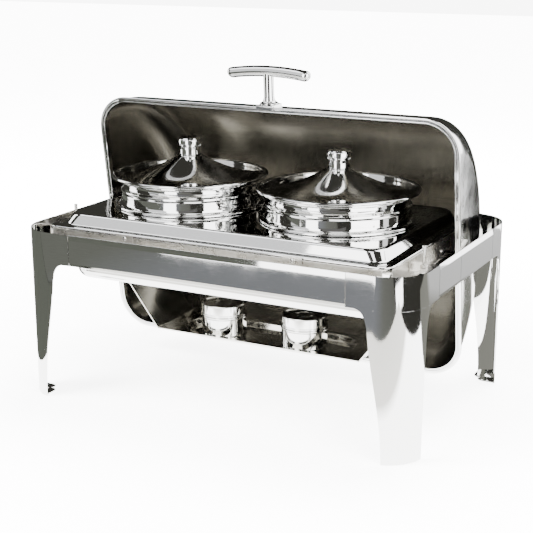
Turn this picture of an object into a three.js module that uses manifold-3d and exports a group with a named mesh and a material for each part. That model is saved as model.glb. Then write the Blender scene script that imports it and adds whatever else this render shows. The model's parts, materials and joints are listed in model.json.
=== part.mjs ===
// Roll top chafer with two round soup pots, in millimetres, +Z up.
// X runs along the long side, -Y is the front, and the origin is on the table under the middle of the stand.
// The cover is modelled open, leaning on its stop; it closes by turning about the hinge axis, along X.
import * as THREE from "three";
import Module from "manifold-3d";
import { mergeVertices } from "three/addons/utils/BufferGeometryUtils.js";

const wasm = await Module();
wasm.setup();

// ---------- driving dimensions ----------
const gap = 0.3; // clearance between pieces that touch
const sheet = 1.5; // thickness of the pressed steel sheet
const roundSides = 24; // flats round each large turned piece
const screwSides = 16;
const pinSides = 20;
const turnedSides = 24; // knobs, cans and the handle's post

// stand
const standLength = 640;
const standWidth = 420;
const standHeight = 262;
const bandHeight = 47; // height of the rail band that runs round the stand
const cornerRadius = 57; // upright rounded corner of each leg
const frontWing = 96.5; // length of a leg's wing along X, at the band
const sideWing = 93.5; // length of a leg's wing along Y, at the band
const legFootFront = 42; // how far the leg reaches along X at the table
const legFootSide = 46; // how far it reaches along Y at the table
const legNeckFront = 65; // the same, just below the band
const legNeckSide = 52.5;
const legNeckDrop = 30; // height of the curve that joins the leg to the band
const legNeckReach = 21; // its length along the band
const footTabLength = 30;
const footTabWidth = 17;
const footTabThick = 2.5;
const seamGap = 0.8; // open line between two lengths of rail
const sideSeamY = -28; // where each side rail is split
const spliceWidth = 26; // plates behind the front and rear seams
const spliceHeight = 34;

// cover
const coverLength = 600; // outside of the shell, at its rim
const coverHalfHeight = 196; // half the shell's opening, square to the hinge
const coverDepth = 185; // rim to crown
const coverCorner = 50; // radius between the barrel and its ends
const coverDraft = 5.5; // degrees that the ends lean in towards the crown
const coverWall = 1.5;
const rimBead = 4; // rolled bead round the rim
const coverOpenTilt = 7.7; // degrees that the open cover's rim leans forward
const hingeY = 0;
const hingeBelowTop = 22; // hinge axis below the top of the stand
const rimBehindHinge = 16; // hinge axis to the rim plane

// handle
const handleReach = 55; // bar's axis above the shell
const handleLean = 4.5; // degrees that the post leans back, square to the barrel under it
const barLength = 138;
const barRadius = 8.2;
const barBow = 4.5; // how far the bar's ends droop
const postRadius = 7.9;
const postFoot = 14;
const postFootEdge = 1.5;
const postFlare = 14; // height of the trumpet foot
const handlePlateWidth = 27;
const handlePlateDepth = 32; // from its hook to its rear edge
const handlePlateHook = 2;
const handlePlateThick = 2;
const handleAxisDepth = 15; // foot of the post, behind the rim plane
const handleScrewRadius = 2.5;
const handleScrewHead = 5.8;
const handleScrewHeadThick = 2.4;
const handleScrewDepth = 10; // into the post

// hinges
const pinRadius = 4;
const pinHead = 6.5;
const pinHeadThick = 2.4;
const pinClearance = 0.1; // between the pin and the ear's hole
const earThick = 2;
const earWidth = 24;
const earReach = 34; // how far the ear runs back over the shell's end
const earStep = 1.5; // bead to the ear's inward step
const earBend = 8; // bead to where the ear's outside leans in
const washerThick = 1.5;
const washerRadius = 9;
const bracketPlate = 2;
const hingeBracketFront = 44; // from the hinge axis, towards the front
const hingeBracketUp = 12;
const hingeBracketDown = 23;
const hingeBracketTail = 8; // from the stop pin to the bracket's rear edge
const stopPinRadius = 2.6;
const stopPinHead = 4;
const stopPinBack = 21; // stop pin behind the hinge axis

// water pan
const middleY = -19; // middle of the pan, plate and pots
const panLength = 532; // outside of the pan's wall, under its flange
const panWidth = 320;
const panDepth = 78.3; // flange to the underside of the floor
const panWall = 1.5;
const panCorner = 44;
const panDraft = 12; // how much each wall leans in towards the floor
const panFloorCurve = 16;
const panFlange = 9;

// adaptor plate
const plateLength = 552;
const plateWidth = 338;
const plateCorner = 16;
const plateThick = 1.5;
const plateAbovePan = 5.7; // top of the plate's flange above the underside of the pan's
const plateRise = 17; // flange to plateau
const plateauInset = 21; // flange's edge to the plateau's edge
const plateauCorner = 34;
const riserSlope = 6;
const plateSkirt = 2.6; // turned-down edge
const potHoleClearance = 1.2;

// pots
const potSpacing = 252;
const potRimRadius = 121.3;
const potRimHeight = 49; // above the plateau
const potRimRoll = 2.2;
const potBodyRadius = 101;
const potSwellRadius = 107; // raised band half way down the visible wall
const potSeatRadius = 117.5; // flange that sits on the plateau
const potSeatRoll = 2.2;
const potWallThick = 1.6;
const potBottomDrop = 87; // below the plateau
const potBottomCurve = 14;
const potLowerRadius = 103;
const potNeckRise = 5; // height of each slope beside the neck under the rim

// pot lids
const lidRadius = 113.5;
const lidThick = 1.4;
const lidNeckRadius = 18;
const lidNeckHeight = 27; // above the pot's rim
const lidSeatDrop = 6.5; // rim of the pot to the lid's outer edge
const lidLedge = 4; // width of the ledge that the lid sits on
const knobHeight = 27;
const knobTopRadius = 18.5;
const knobFootRadius = 14;
const knobScrewRadius = 2.5;
const knobScrewHead = 6;
const knobScrewDepth = 12;

// fuel shelf and cans
const shelfDrop = 182; // top of the stand to the top of the shelf
const shelfFloorHalf = 175; // half its length at the bottom
const shelfLean = 0.758; // outward lean of its ends, X per Z
const shelfFront = -47;
const shelfRear = 63;
const wellHalfLength = 145;
const wellHalfWidth = 44;
const wellDepth = 8.5;
const wellWallRun = 5;
const shelfEndUp = 17; // how far the shelf's ends rise inside the carrier
const shelfScrewRadius = 2;
const shelfScrewHead = 4.5;
const shelfScrewUp = 10; // above the carrier's lower edge
const canRadius = 36;
const canHeight = 50.5;
const canWall = 1.2;
const canCapHeight = 18.5;
const canBead = 1.1;
const canSpacing = 143;
const canOffsetX = -12.5; // the pair stands a little off centre in the well

// carrier frame that holds the pan
const carrierSheet = 1.2;
const carrierLedge = 8;
const carrierDrop = 24; // below the ledge
const carrierUpstand = 3; // above the ledge, outside the flanges
const carrierFlange = 4; // turned out along the bottom of the side pieces
const carrierChamfer = 12; // cut off the long pieces' corners, clear of the closed cover's rounded ones
const frontBracketX = 136;
const frontBracketWidth = 29;
const frontBracketRise = 13; // above its foot
const frontBracketTail = 14; // down the inside of the front rail
const bracketScrewRadius = 3.6;
const bracketScrewHead = 1;
const bracketScrewUp = 7; // above the foot
const sideBracketFront = -122;
const sideBracketRear = -72;
const sideBracketBelow = 6; // top of the bracket below the closed rim
const sideBracketTail = 14;
const boltFromCarrier = 12;
const boltRadius = 2.6;
const boltHead = 5;
const boltHeadThick = 3.5;
const boltStand = 31; // bolt's top above the bracket
const nutRadius = 5.2;
const nutThick = 4.5;

// ---------- heights above the table ----------
const hingeZ = standHeight - hingeBelowTop;
const panFlangeZ = standHeight + gap;
const panFloorZ = panFlangeZ - panDepth;
const plateFlangeZ = panFlangeZ + plateAbovePan;
const plateauTop = plateFlangeZ + plateRise;
const potRimZ = plateauTop + potRimHeight;
const potBottomZ = plateauTop - potBottomDrop;
const lidNeckZ = potRimZ + lidNeckHeight;
const shelfZ = standHeight - shelfDrop;

// ---------- finishes ----------
const mirror = new THREE.MeshStandardMaterial({ color: 0xd8d9da, metalness: 1, roughness: 0.06 });
const brushed = new THREE.MeshStandardMaterial({ color: 0xa9a7a2, metalness: 1, roughness: 0.32 });
const polished = new THREE.MeshStandardMaterial({ color: 0xcfd0d1, metalness: 1, roughness: 0.1 });
const zinc = new THREE.MeshStandardMaterial({ color: 0xb9b6ae, metalness: 1, roughness: 0.4 });

// ---------- solids ----------
const rad = THREE.MathUtils.degToRad;

function toSolid(geometry) {
  const bare = geometry.index ? geometry.toNonIndexed() : geometry.clone();
  for (const name of Object.keys(bare.attributes)) if (name !== "position") bare.deleteAttribute(name);
  const merged = mergeVertices(bare, 1e-4);
  return new wasm.Manifold(new wasm.Mesh({
    numProp: 3,
    vertProperties: new Float32Array(merged.attributes.position.array),
    triVerts: new Uint32Array(merged.index.array),
  }));
}

function toGeometry(solid) {
  const mesh = solid.getMesh();
  const geometry = new THREE.BufferGeometry();
  geometry.setAttribute("position", new THREE.BufferAttribute(new Float32Array(mesh.vertProperties), 3));
  geometry.setIndex(new THREE.BufferAttribute(new Uint32Array(mesh.triVerts), 1));
  geometry.computeVertexNormals();
  return geometry;
}

function joined(solids) {
  return solids.reduce((all, next) => all.add(next));
}

function cut(solid, cutters) {
  return cutters.reduce((left, cutter) => left.subtract(cutter), solid);
}

// A box between two corners.
function box(x0, y0, z0, x1, y1, z1) {
  const geometry = new THREE.BoxGeometry(Math.abs(x1 - x0), Math.abs(y1 - y0), Math.abs(z1 - z0));
  geometry.translate((x0 + x1) / 2, (y0 + y1) / 2, (z0 + z1) / 2);
  return toSolid(geometry);
}

// An outline in the plane of two axes, extruded along the third from low to high.
function prism(outline, along, low, high, curveSegments = 8) {
  const points = outline instanceof THREE.Shape
    ? outline.getPoints(curveSegments)
    : outline.map(([u, v]) => new THREE.Vector2(u, v));
  const apart = points.filter((p, i) => p.distanceTo(points[(i + 1) % points.length]) > 1e-3);
  const shape = new THREE.Shape(apart);
  const geometry = new THREE.ExtrudeGeometry(shape, { depth: high - low, bevelEnabled: false });
  geometry.translate(0, 0, low);
  const turn = new THREE.Matrix4();
  if (along === "x") turn.set(0, 0, 1, 0, 1, 0, 0, 0, 0, 1, 0, 0, 0, 0, 0, 1); // outline in Y, Z
  if (along === "y") turn.set(1, 0, 0, 0, 0, 0, -1, 0, 0, 1, 0, 0, 0, 0, 0, 1); // outline in X, Z
  geometry.applyMatrix4(turn);
  if (along === "y") geometry.translate(0, low + high, 0);
  return toSolid(geometry);
}

// A cylinder along X, Y or Z between two places on that axis.
function rod(along, radius, low, high, centre, segments = 24) {
  const geometry = new THREE.CylinderGeometry(radius, radius, high - low, segments);
  if (along === "x") geometry.rotateZ(-Math.PI / 2);
  if (along === "z") geometry.rotateX(Math.PI / 2);
  const middle = (low + high) / 2;
  const [u, v] = centre;
  if (along === "x") geometry.translate(middle, u, v);
  if (along === "y") geometry.translate(u, middle, v);
  if (along === "z") geometry.translate(u, v, middle);
  return toSolid(geometry);
}

// A closed [radius, height] outline turned about the Z axis.
function turned(outline, segments = 40) {
  const points = outline.map(([r, z]) => new THREE.Vector2(r, z));
  const closed = points[0].distanceTo(points.at(-1)) < 1e-6 || (points[0].x === 0 && points.at(-1).x === 0);
  if (!closed) points.push(points[0].clone());
  const geometry = new THREE.LatheGeometry(points, segments);
  geometry.rotateX(Math.PI / 2);
  return facingOut(geometry);
}

// The solid of a closed skin, whichever way round its faces were made.
function facingOut(geometry) {
  const solid = toSolid(geometry);
  return solid.volume() < 0 ? toSolid(reversed(geometry)) : solid;
}

function reversed(geometry) {
  const order = geometry.index.array;
  for (let i = 0; i < order.length; i += 3) [order[i + 1], order[i + 2]] = [order[i + 2], order[i + 1]];
  return geometry;
}

// A skin over loops of the same number of points, closed by a fan at each end.
function loft(loops) {
  const count = loops[0].length;
  const points = loops.flat();
  const faces = [];
  for (let j = 0; j + 1 < loops.length; j++) {
    for (let i = 0; i < count; i++) {
      const a = j * count + i;
      const b = j * count + ((i + 1) % count);
      faces.push(a, b, b + count, a, b + count, a + count);
    }
  }
  for (const [loop, flip] of [[0, true], [loops.length - 1, false]]) {
    const centre = points.length;
    const sum = new THREE.Vector3();
    loops[loop].forEach((p) => sum.add(p));
    points.push(sum.divideScalar(count));
    for (let i = 0; i < count; i++) {
      const a = loop * count + i;
      const b = loop * count + ((i + 1) % count);
      if (flip) faces.push(centre, b, a);
      else faces.push(centre, a, b);
    }
  }
  const geometry = new THREE.BufferGeometry().setFromPoints(points);
  geometry.setIndex(faces);
  return facingOut(geometry);
}

// A level rounded rectangle, anticlockwise from above, about the point (cx, cy).
function roundedLoop(halfX, halfY, radius, z, cx = 0, cy = 0, steps = 5) {
  const loop = [];
  const corners = [[1, 1, 0], [-1, 1, 90], [-1, -1, 180], [1, -1, 270]];
  for (const [sx, sy, start] of corners) {
    for (let i = 0; i <= steps; i++) {
      const angle = rad(start + (90 * i) / steps);
      const x = cx + sx * (halfX - radius) + radius * Math.cos(angle);
      const y = cy + sy * (halfY - radius) + radius * Math.sin(angle);
      loop.push(new THREE.Vector3(x, y, z));
    }
  }
  return loop;
}

// The band of a sheet that follows a line of points in a plane, as an outline.
function ribbon(line, thickness) {
  const left = [];
  const right = [];
  line.forEach(([x, y], i) => {
    const before = line[Math.max(i - 1, 0)];
    const after = line[Math.min(i + 1, line.length - 1)];
    const first = new THREE.Vector2(x - before[0], y - before[1]);
    const second = new THREE.Vector2(after[0] - x, after[1] - y);
    if (i === 0) first.copy(second);
    if (i === line.length - 1) second.copy(first);
    first.normalize();
    second.normalize();
    const normal = new THREE.Vector2(-(first.y + second.y), first.x + second.x).normalize();
    const reach = thickness / 2 / Math.max(normal.dot(new THREE.Vector2(-first.y, first.x)), 0.3);
    left.push([x + normal.x * reach, y + normal.y * reach]);
    right.unshift([x - normal.x * reach, y - normal.y * reach]);
  });
  return [...left, ...right];
}

// ---------- scene graph ----------
const chafer = new THREE.Group();
const stand = new THREE.Group();
const cover = new THREE.Group();
const serving = new THREE.Group();
chafer.add(stand, cover, serving);

function place(group, name, solid, material) {
  const mesh = new THREE.Mesh(toGeometry(solid), material);
  mesh.name = name;
  group.add(mesh);
  return mesh;
}

const mirrored = (solid, x = true, y = false) => solid.scale([x ? -1 : 1, y ? -1 : 1, 1]);
const sides = [["left", -1], ["right", 1]];

// ---------- stand ----------
const halfLength = standLength / 2;
const halfWidth = standWidth / 2;
const bandBottom = standHeight - bandHeight;
const seamX = halfLength - frontWing; // front and rear seams
const seamY = halfWidth - sideWing; // side seams
const railInnerX = halfLength - sheet;
const railInnerY = halfWidth - sheet;

// Plan of a leg at the rear right: an angle of sheet with a large rounded corner.
function legPlan() {
  const outer = cornerRadius;
  const inner = cornerRadius - sheet;
  const cx = halfLength - outer;
  const cy = halfWidth - outer;
  const shape = new THREE.Shape();
  shape.moveTo(seamX, halfWidth);
  shape.lineTo(seamX, railInnerY);
  shape.lineTo(cx, railInnerY);
  shape.absarc(cx, cy, inner, Math.PI / 2, 0, true);
  shape.lineTo(railInnerX, seamY);
  shape.lineTo(halfLength, seamY);
  shape.lineTo(halfLength, cy);
  shape.absarc(cx, cy, outer, 0, Math.PI / 2, false);
  shape.closePath();
  return shape;
}

// What is cut away below the band, from the seam to the leg's inner edge.
function legCutOutline(seam, half, neck, foot) {
  const shape = new THREE.Shape();
  const below = -1;
  const far = Math.min(seam, half - neck - legNeckReach) - 2;
  shape.moveTo(far, bandBottom);
  shape.lineTo(far, below);
  shape.lineTo(half - foot, below);
  const start = new THREE.Vector2(half - neck, bandBottom - legNeckDrop);
  shape.bezierCurveTo(half - foot - 1, bandBottom * 0.35, half - neck + 4, bandBottom * 0.6, start.x, start.y);
  shape.bezierCurveTo(
    half - neck - 3, bandBottom - legNeckDrop * 0.35,
    half - neck - legNeckReach * 0.4, bandBottom,
    half - neck - legNeckReach, bandBottom,
  );
  shape.closePath();
  return shape;
}

// A tab with a round end, folded in under the leg.
function footTab(alongX) {
  const round = footTabWidth / 2;
  const shape = new THREE.Shape();
  const start = alongX ? railInnerX + sheet / 2 : railInnerY + sheet / 2;
  const end = start - footTabLength;
  const middle = alongX ? halfWidth - legFootSide + round + 1 : halfLength - legFootFront + round + 1;
  if (alongX) {
    shape.moveTo(start, middle - round);
    shape.lineTo(start, middle + round);
    shape.lineTo(end + round, middle + round);
    shape.absarc(end + round, middle, round, Math.PI / 2, (3 * Math.PI) / 2, false);
  } else {
    shape.moveTo(middle + round, start);
    shape.lineTo(middle - round, start);
    shape.lineTo(middle - round, end + round);
    shape.absarc(middle, end + round, round, Math.PI, 2 * Math.PI, false);
  }
  shape.closePath();
  return prism(shape, "z", 0, footTabThick, 4);
}

function legSolid() {
  const plan = legPlan();
  const wall = prism(plan, "z", 0, standHeight, 8);
  const frontCut = legCutOutline(seamX, halfLength, legNeckFront, legFootFront);
  const sideCut = legCutOutline(seamY, halfWidth, legNeckSide, legFootSide);
  const shaped = cut(wall, [
    prism(frontCut, "y", halfWidth - cornerRadius * 0.7, halfWidth + 2, 6),
    prism(sideCut, "x", halfLength - cornerRadius * 0.7, halfLength + 2, 6),
  ]);
  // the tabs start inside the curved wall, so they are trimmed to the leg's own outside
  const full = new THREE.Shape();
  const c = cornerRadius;
  full.moveTo(halfLength - 120, halfWidth);
  full.lineTo(halfLength - 120, halfWidth - 120);
  full.lineTo(halfLength, halfWidth - 120);
  full.lineTo(halfLength, halfWidth - c);
  full.absarc(halfLength - c, halfWidth - c, c, 0, Math.PI / 2, false);
  full.closePath();
  const inside = prism(full, "z", -1, footTabThick + 1, 8);
  return shaped.add(footTab(true).intersect(inside)).add(footTab(false).intersect(inside));
}

const leg = legSolid();
place(stand, "leg_rear_right", leg, mirror);
place(stand, "leg_rear_left", mirrored(leg), mirror);
place(stand, "leg_front_right", mirrored(leg, false, true), mirror);
place(stand, "leg_front_left", mirrored(leg, true, true), mirror);

// Long rails, with a splice plate behind each seam.
for (const [end, sy] of [["front", -1], ["rear", 1]]) {
  const outer = sy * halfWidth;
  const inner = sy * railInnerY;
  const rail = box(-seamX + seamGap, inner, bandBottom, seamX - seamGap, outer, standHeight);
  place(stand, `${end}_rail`, rail, mirror);
  for (const [side, sx] of sides) {
    const near = sy * (railInnerY - gap);
    const far = sy * (railInnerY - gap - sheet);
    const low = bandBottom + (bandHeight - spliceHeight) / 2 - 3;
    const x0 = sx * seamX - spliceWidth / 2;
    const plate = box(x0, near, low, x0 + spliceWidth, far, low + spliceHeight);
    place(stand, `splice_${end}_${side}`, plate, zinc);
  }
}

// Side rails, each in two lengths that meet at the hinge bracket.
for (const [side, sx] of sides) {
  const outer = sx * halfLength;
  const inner = sx * railInnerX;
  const front = box(inner, -seamY + seamGap, bandBottom, outer, sideSeamY - seamGap / 2, standHeight);
  const rear = box(inner, sideSeamY + seamGap / 2, bandBottom, outer, seamY - seamGap, standHeight);
  place(stand, `side_rail_${side}_front`, front, mirror);
  place(stand, `side_rail_${side}_rear`, rear, mirror);
}

// ---------- cover ----------
// The cover is built in its own frame: X along the hinge, +Y from the rim to the crown, +Z up the open rim.
const openTilt = rad(coverOpenTilt);
cover.position.set(0, hingeY, hingeZ);
cover.rotation.x = openTilt;
const rimMiddle = new THREE.Vector3(0, rimBehindHinge, 0);

// A half barrel with rounded ends: one loop across it for each station along X.
function barrel(inset, skirt) {
  const half = coverLength / 2 - inset;
  const radius = coverCorner - inset;
  const rise = coverHalfHeight - inset;
  const depth = coverDepth - inset;
  const stations = [];
  const endSteps = 5;
  for (let i = 0; i <= endSteps; i++) {
    const angle = (Math.PI / 2) * (1 - i / endSteps);
    stations.push([half - radius + radius * Math.sin(angle), radius * (1 - Math.cos(angle))]);
  }
  const all = [...stations.map(([x, drop]) => [-x, drop]), ...stations.reverse()];
  const across = 18;
  return loft(all.map(([x, drop]) => {
    const loop = [];
    const add = (d, s) => {
      const lean = 1 - (Math.max(d, 0) * Math.tan(rad(coverDraft))) / half;
      loop.push(new THREE.Vector3(x * lean, rimMiddle.y + d, rimMiddle.z + s));
    };
    if (skirt) add(-skirt, -(rise - drop));
    for (let i = 0; i <= across; i++) {
      const turn = (Math.PI * i) / across - Math.PI / 2;
      add((depth - drop) * Math.cos(turn), (rise - drop) * Math.sin(turn));
    }
    if (skirt) add(-skirt, rise - drop);
    return loop;
  }));
}

// Rounded outline of the rim, in the cover's X and Z.
function rimOutline(grow) {
  const loop = roundedLoop(coverLength / 2 + grow, coverHalfHeight + grow, coverCorner + grow, 0);
  return new THREE.Shape(loop.map((p) => new THREE.Vector2(p.x, p.y + rimMiddle.z)));
}

// The rolled bead: three thin slabs that step out and in make its rounded edge.
function rimBeadSolid() {
  const layers = [[0, 0.28, 0.72], [0.28, 0.72, 1], [0.72, 1, 0.72]];
  return joined(layers.map(([from, to, out]) =>
    prism(rimOutline(rimBead * out), "y", rimMiddle.y + rimBead * from, rimMiddle.y + rimBead * to)));
}

// The handle leans with the barrel under it; its screw runs up its axis.
const lean = rad(handleLean);
const handleZ = rimMiddle.z + coverHalfHeight; // outside of the shell, at the rim
const plateTopZ = handleZ + rimBead + gap + handlePlateThick;
const postY = rimMiddle.y + handleAxisDepth;
const postZ = plateTopZ - handleAxisDepth * Math.tan(lean);
const alongHandle = (solid) => solid.rotate([-handleLean, 0, 0]).translate([0, postY, postZ]);
const holeBelow = 20; // how far the screw's hole is cut below the post's foot
const screwHole = alongHandle(
  rod("z", handleScrewRadius + gap, -holeBelow, handleScrewDepth + 1, [0, 0], screwSides));
const shell = cut(barrel(0, 0).add(rimBeadSolid()), [barrel(coverWall, rimBead), screwHole]);
place(cover, "cover_shell", shell, brushed);

// A plate hooks over the rim's bead and carries the handle.
const plateBack = handlePlateDepth - handlePlateHook;
const shellDropAtBack = coverHalfHeight * (1 - Math.sqrt(1 - (plateBack / coverDepth) ** 2));
const handlePlate = prism([
  [rimMiddle.y - gap - handlePlateHook, handleZ - 1],
  [rimMiddle.y - gap, handleZ - 1],
  [rimMiddle.y - gap, handleZ + rimBead + gap],
  [rimMiddle.y + rimBead + gap, handleZ + rimBead + gap],
  [rimMiddle.y + rimBead + gap, handleZ + gap],
  [rimMiddle.y + plateBack, handleZ - shellDropAtBack + gap],
  [rimMiddle.y + plateBack, plateTopZ - plateBack * Math.tan(lean)],
  [rimMiddle.y, plateTopZ],
  [rimMiddle.y - gap - handlePlateHook, plateTopZ],
], "x", -handlePlateWidth / 2, handlePlateWidth / 2);
place(cover, "handle_plate", handlePlate.subtract(screwHole), polished);

// The bar is bowed, with domed ends; heights are above the post's foot.
const barHeight = handleReach - rimBead - handlePlateThick;
function barSolid(grow) {
  const loops = [];
  const steps = 8;
  const across = 12;
  const radius = barRadius + grow;
  const half = barLength / 2 - barRadius;
  const ringAt = (x, r) => {
    const loop = [];
    const droop = barBow * (Math.min(Math.abs(x), half) / half) ** 2;
    for (let i = 0; i < across; i++) {
      const angle = (2 * Math.PI * i) / across;
      loop.push(new THREE.Vector3(x, r * Math.cos(angle), barHeight - droop + r * Math.sin(angle)));
    }
    return loop;
  };
  const dome = [15, 40, 65];
  const domeRing = (a, sx) => ringAt(sx * (half + radius * Math.cos(rad(a))), radius * Math.sin(rad(a)));
  for (const a of dome) loops.push(domeRing(a, -1));
  for (let i = 0; i <= steps; i++) loops.push(ringAt(-half + (2 * half * i) / steps, radius));
  for (const a of dome.toReversed()) loops.push(domeRing(a, 1));
  return loft(loops);
}
place(cover, "handle_bar", alongHandle(barSolid(0)), mirror);

// The post stands on the plate and is coped to fit under the bar.
const postOutline = [[0, 0], [postFoot, 0], [postFoot, postFootEdge]];
const flareSteps = 6;
for (let i = 1; i <= flareSteps; i++) {
  const turn = ((i / flareSteps) * Math.PI) / 2;
  postOutline.push([
    postRadius + (postFoot - postRadius) * (1 - Math.sin(turn)),
    postFootEdge + (postFlare - postFootEdge) * (1 - Math.cos(turn)),
  ]);
}
postOutline.push([postRadius, barHeight], [0, barHeight]);
const post = turned(postOutline, turnedSides)
  .translate([0, 0, gap])
  .subtract(barSolid(gap))
  .subtract(rod("z", handleScrewRadius + gap, -1, handleScrewDepth + 1, [0, 0], screwSides));
const largest = (solid) => solid.decompose().sort((a, b) => b.volume() - a.volume())[0];
place(cover, "handle_post", alongHandle(largest(post)), mirror);

// The screw's head lies inside the shell and its shank runs up into the post.
const shellDropAtPost = coverHalfHeight * (1 - Math.sqrt(1 - (handleAxisDepth / coverDepth) ** 2));
const shellUnderPost = postZ - (handleZ - shellDropAtPost) + coverWall;
const screwFace = -shellUnderPost - 2 * gap - handleScrewHead * Math.tan(lean);
const handleScrew = rod("z", handleScrewHead, screwFace - handleScrewHeadThick, screwFace, [0, 0], pinSides)
  .add(rod("z", handleScrewRadius, screwFace - 1, handleScrewDepth, [0, 0], screwSides));
place(cover, "handle_screw", alongHandle(handleScrew), zinc);

// ---------- hinges ----------
const shellEnd = coverLength / 2;
const earInner = shellEnd + rimBead + gap;
const earOuter = earInner + earThick;
const washerInner = earOuter + gap;
const bracketInner = washerInner + washerThick + gap;
const bracketOuter = bracketInner + bracketPlate;
const wallFace = railInnerX - gap;

for (const [side, sx] of sides) {
  const flip = (solid) => (sx < 0 ? mirrored(solid) : solid);
  // ear on the cover: it steps over the bead and lies against the shell's end
  const back = rimMiddle.y + earReach;
  const draft = Math.tan(rad(coverDraft));
  const earPlan = [
    [earInner, 0],
    [earInner, rimMiddle.y + rimBead + earStep],
    [shellEnd + gap - draft * (rimBead + earStep), rimMiddle.y + rimBead + earStep],
    [shellEnd + gap - draft * earReach, back],
    [earOuter - draft * earReach, back],
    [earOuter, rimMiddle.y + rimBead + earBend],
    [earOuter, 0],
  ];
  const ear = prism(earPlan, "z", -earWidth / 2, earWidth / 2)
    .add(rod("x", earWidth / 2, earInner, earOuter, [0, 0], pinSides))
    .subtract(rod("x", pinRadius + pinClearance, earInner - 5, earOuter + 5, [0, 0], pinSides));
  place(cover, `hinge_ear_${side}`, flip(ear), zinc);

  // pin, with its head inside the ear and its tail in the bracket
  const pin = rod("x", pinRadius, earInner - gap - 1, wallFace, [hingeY, hingeZ], pinSides)
    .add(rod("x", pinHead, earInner - gap - pinHeadThick, earInner - gap, [hingeY, hingeZ], pinSides));
  place(stand, `hinge_pin_${side}`, flip(pin), polished);
  const washer = rod("x", washerRadius, washerInner, washerInner + washerThick, [hingeY, hingeZ], pinSides)
    .subtract(
      rod("x", pinRadius + gap, washerInner - 1, washerInner + washerThick + 1, [hingeY, hingeZ], pinSides));
  place(stand, `hinge_washer_${side}`, flip(washer), polished);

  // bracket: a channel of plate against the side rails, across their seam
  const low = hingeZ - hingeBracketDown;
  const high = hingeZ + hingeBracketUp;
  const front = hingeY - hingeBracketFront;
  const stopY = hingeY + stopPinBack;
  const stopZ = hingeZ - stopDropAt(stopPinBack);
  const rear = stopY + hingeBracketTail;
  const pinHole = (radius, y, z) => rod("x", radius, bracketInner - 1, bracketOuter + 1, [y, z], pinSides);
  const hollow = box(bracketOuter, front + bracketPlate, low - 1, wallFace + 1, rear - bracketPlate, high + 1);
  const channel = cut(box(bracketInner, front, low, wallFace, rear, high), [
    hollow,
    pinHole(pinRadius + gap, hingeY, hingeZ),
    pinHole(stopPinRadius + gap, stopY, stopZ),
  ]);
  place(stand, `hinge_bracket_${side}`, flip(channel), zinc);

  // pin that the ear leans on when the cover is open
  const stop = rod("x", stopPinRadius, earInner, bracketOuter + 2, [stopY, stopZ], screwSides)
    .add(rod("x", stopPinHead, bracketOuter + gap, bracketOuter + 2, [stopY, stopZ], screwSides));
  place(stand, `stop_pin_${side}`, flip(stop), polished);
}

// How far below the hinge axis the stop pin lies, to touch the open ear's lower edge.
function stopDropAt(back) {
  const edge = (earWidth / 2 + stopPinRadius + gap) / Math.cos(openTilt);
  return edge - back * Math.tan(openTilt);
}

// ---------- carrier frame ----------
const panHalfX = panLength / 2;
const panHalfY = panWidth / 2;
const ledgeTop = panFlangeZ - gap;
const carrierLow = ledgeTop - carrierDrop;
const carrierTop = ledgeTop + carrierUpstand;
const carrierInX = Math.max(panHalfX + panFlange, plateLength / 2) + gap;
const carrierInY = Math.max(panHalfY + panFlange, plateWidth / 2) + gap;
const carrierOutX = carrierInX + carrierSheet;
const carrierOutY = carrierInY + carrierSheet;
const closedRimZ = hingeZ + rimBehindHinge;
const shelfScrewAt = [(shelfFront + shelfRear) / 2, carrierLow + shelfScrewUp];

// An angle with an upstand: the ledge points inwards from a web that stands outside the flanges.
for (const [end, sy] of [["front", -1], ["rear", 1]]) {
  const outer = middleY + sy * carrierOutY;
  const inner = middleY + sy * carrierInY;
  const angle = box(-carrierOutX, outer, carrierLow, carrierOutX, inner, carrierTop)
    .add(box(-carrierOutX, outer, ledgeTop - carrierSheet, carrierOutX, inner - sy * carrierLedge, ledgeTop));
  const corners = [-1, 1].map((sx) => prism([
    [sx * (carrierOutX - carrierChamfer), outer],
    [sx * carrierOutX, outer - sy * carrierChamfer],
    [sx * (carrierOutX + 1), outer - sy * carrierChamfer],
    [sx * (carrierOutX + 1), outer + sy],
    [sx * (carrierOutX - carrierChamfer), outer + sy],
  ], "z", carrierLow - 1, carrierTop + 1));
  place(stand, `carrier_rail_${end}`, cut(angle, corners), zinc);
}
const carrierEnd = carrierInY - carrierLedge - gap; // side pieces fit between the long ones' ledges

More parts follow.
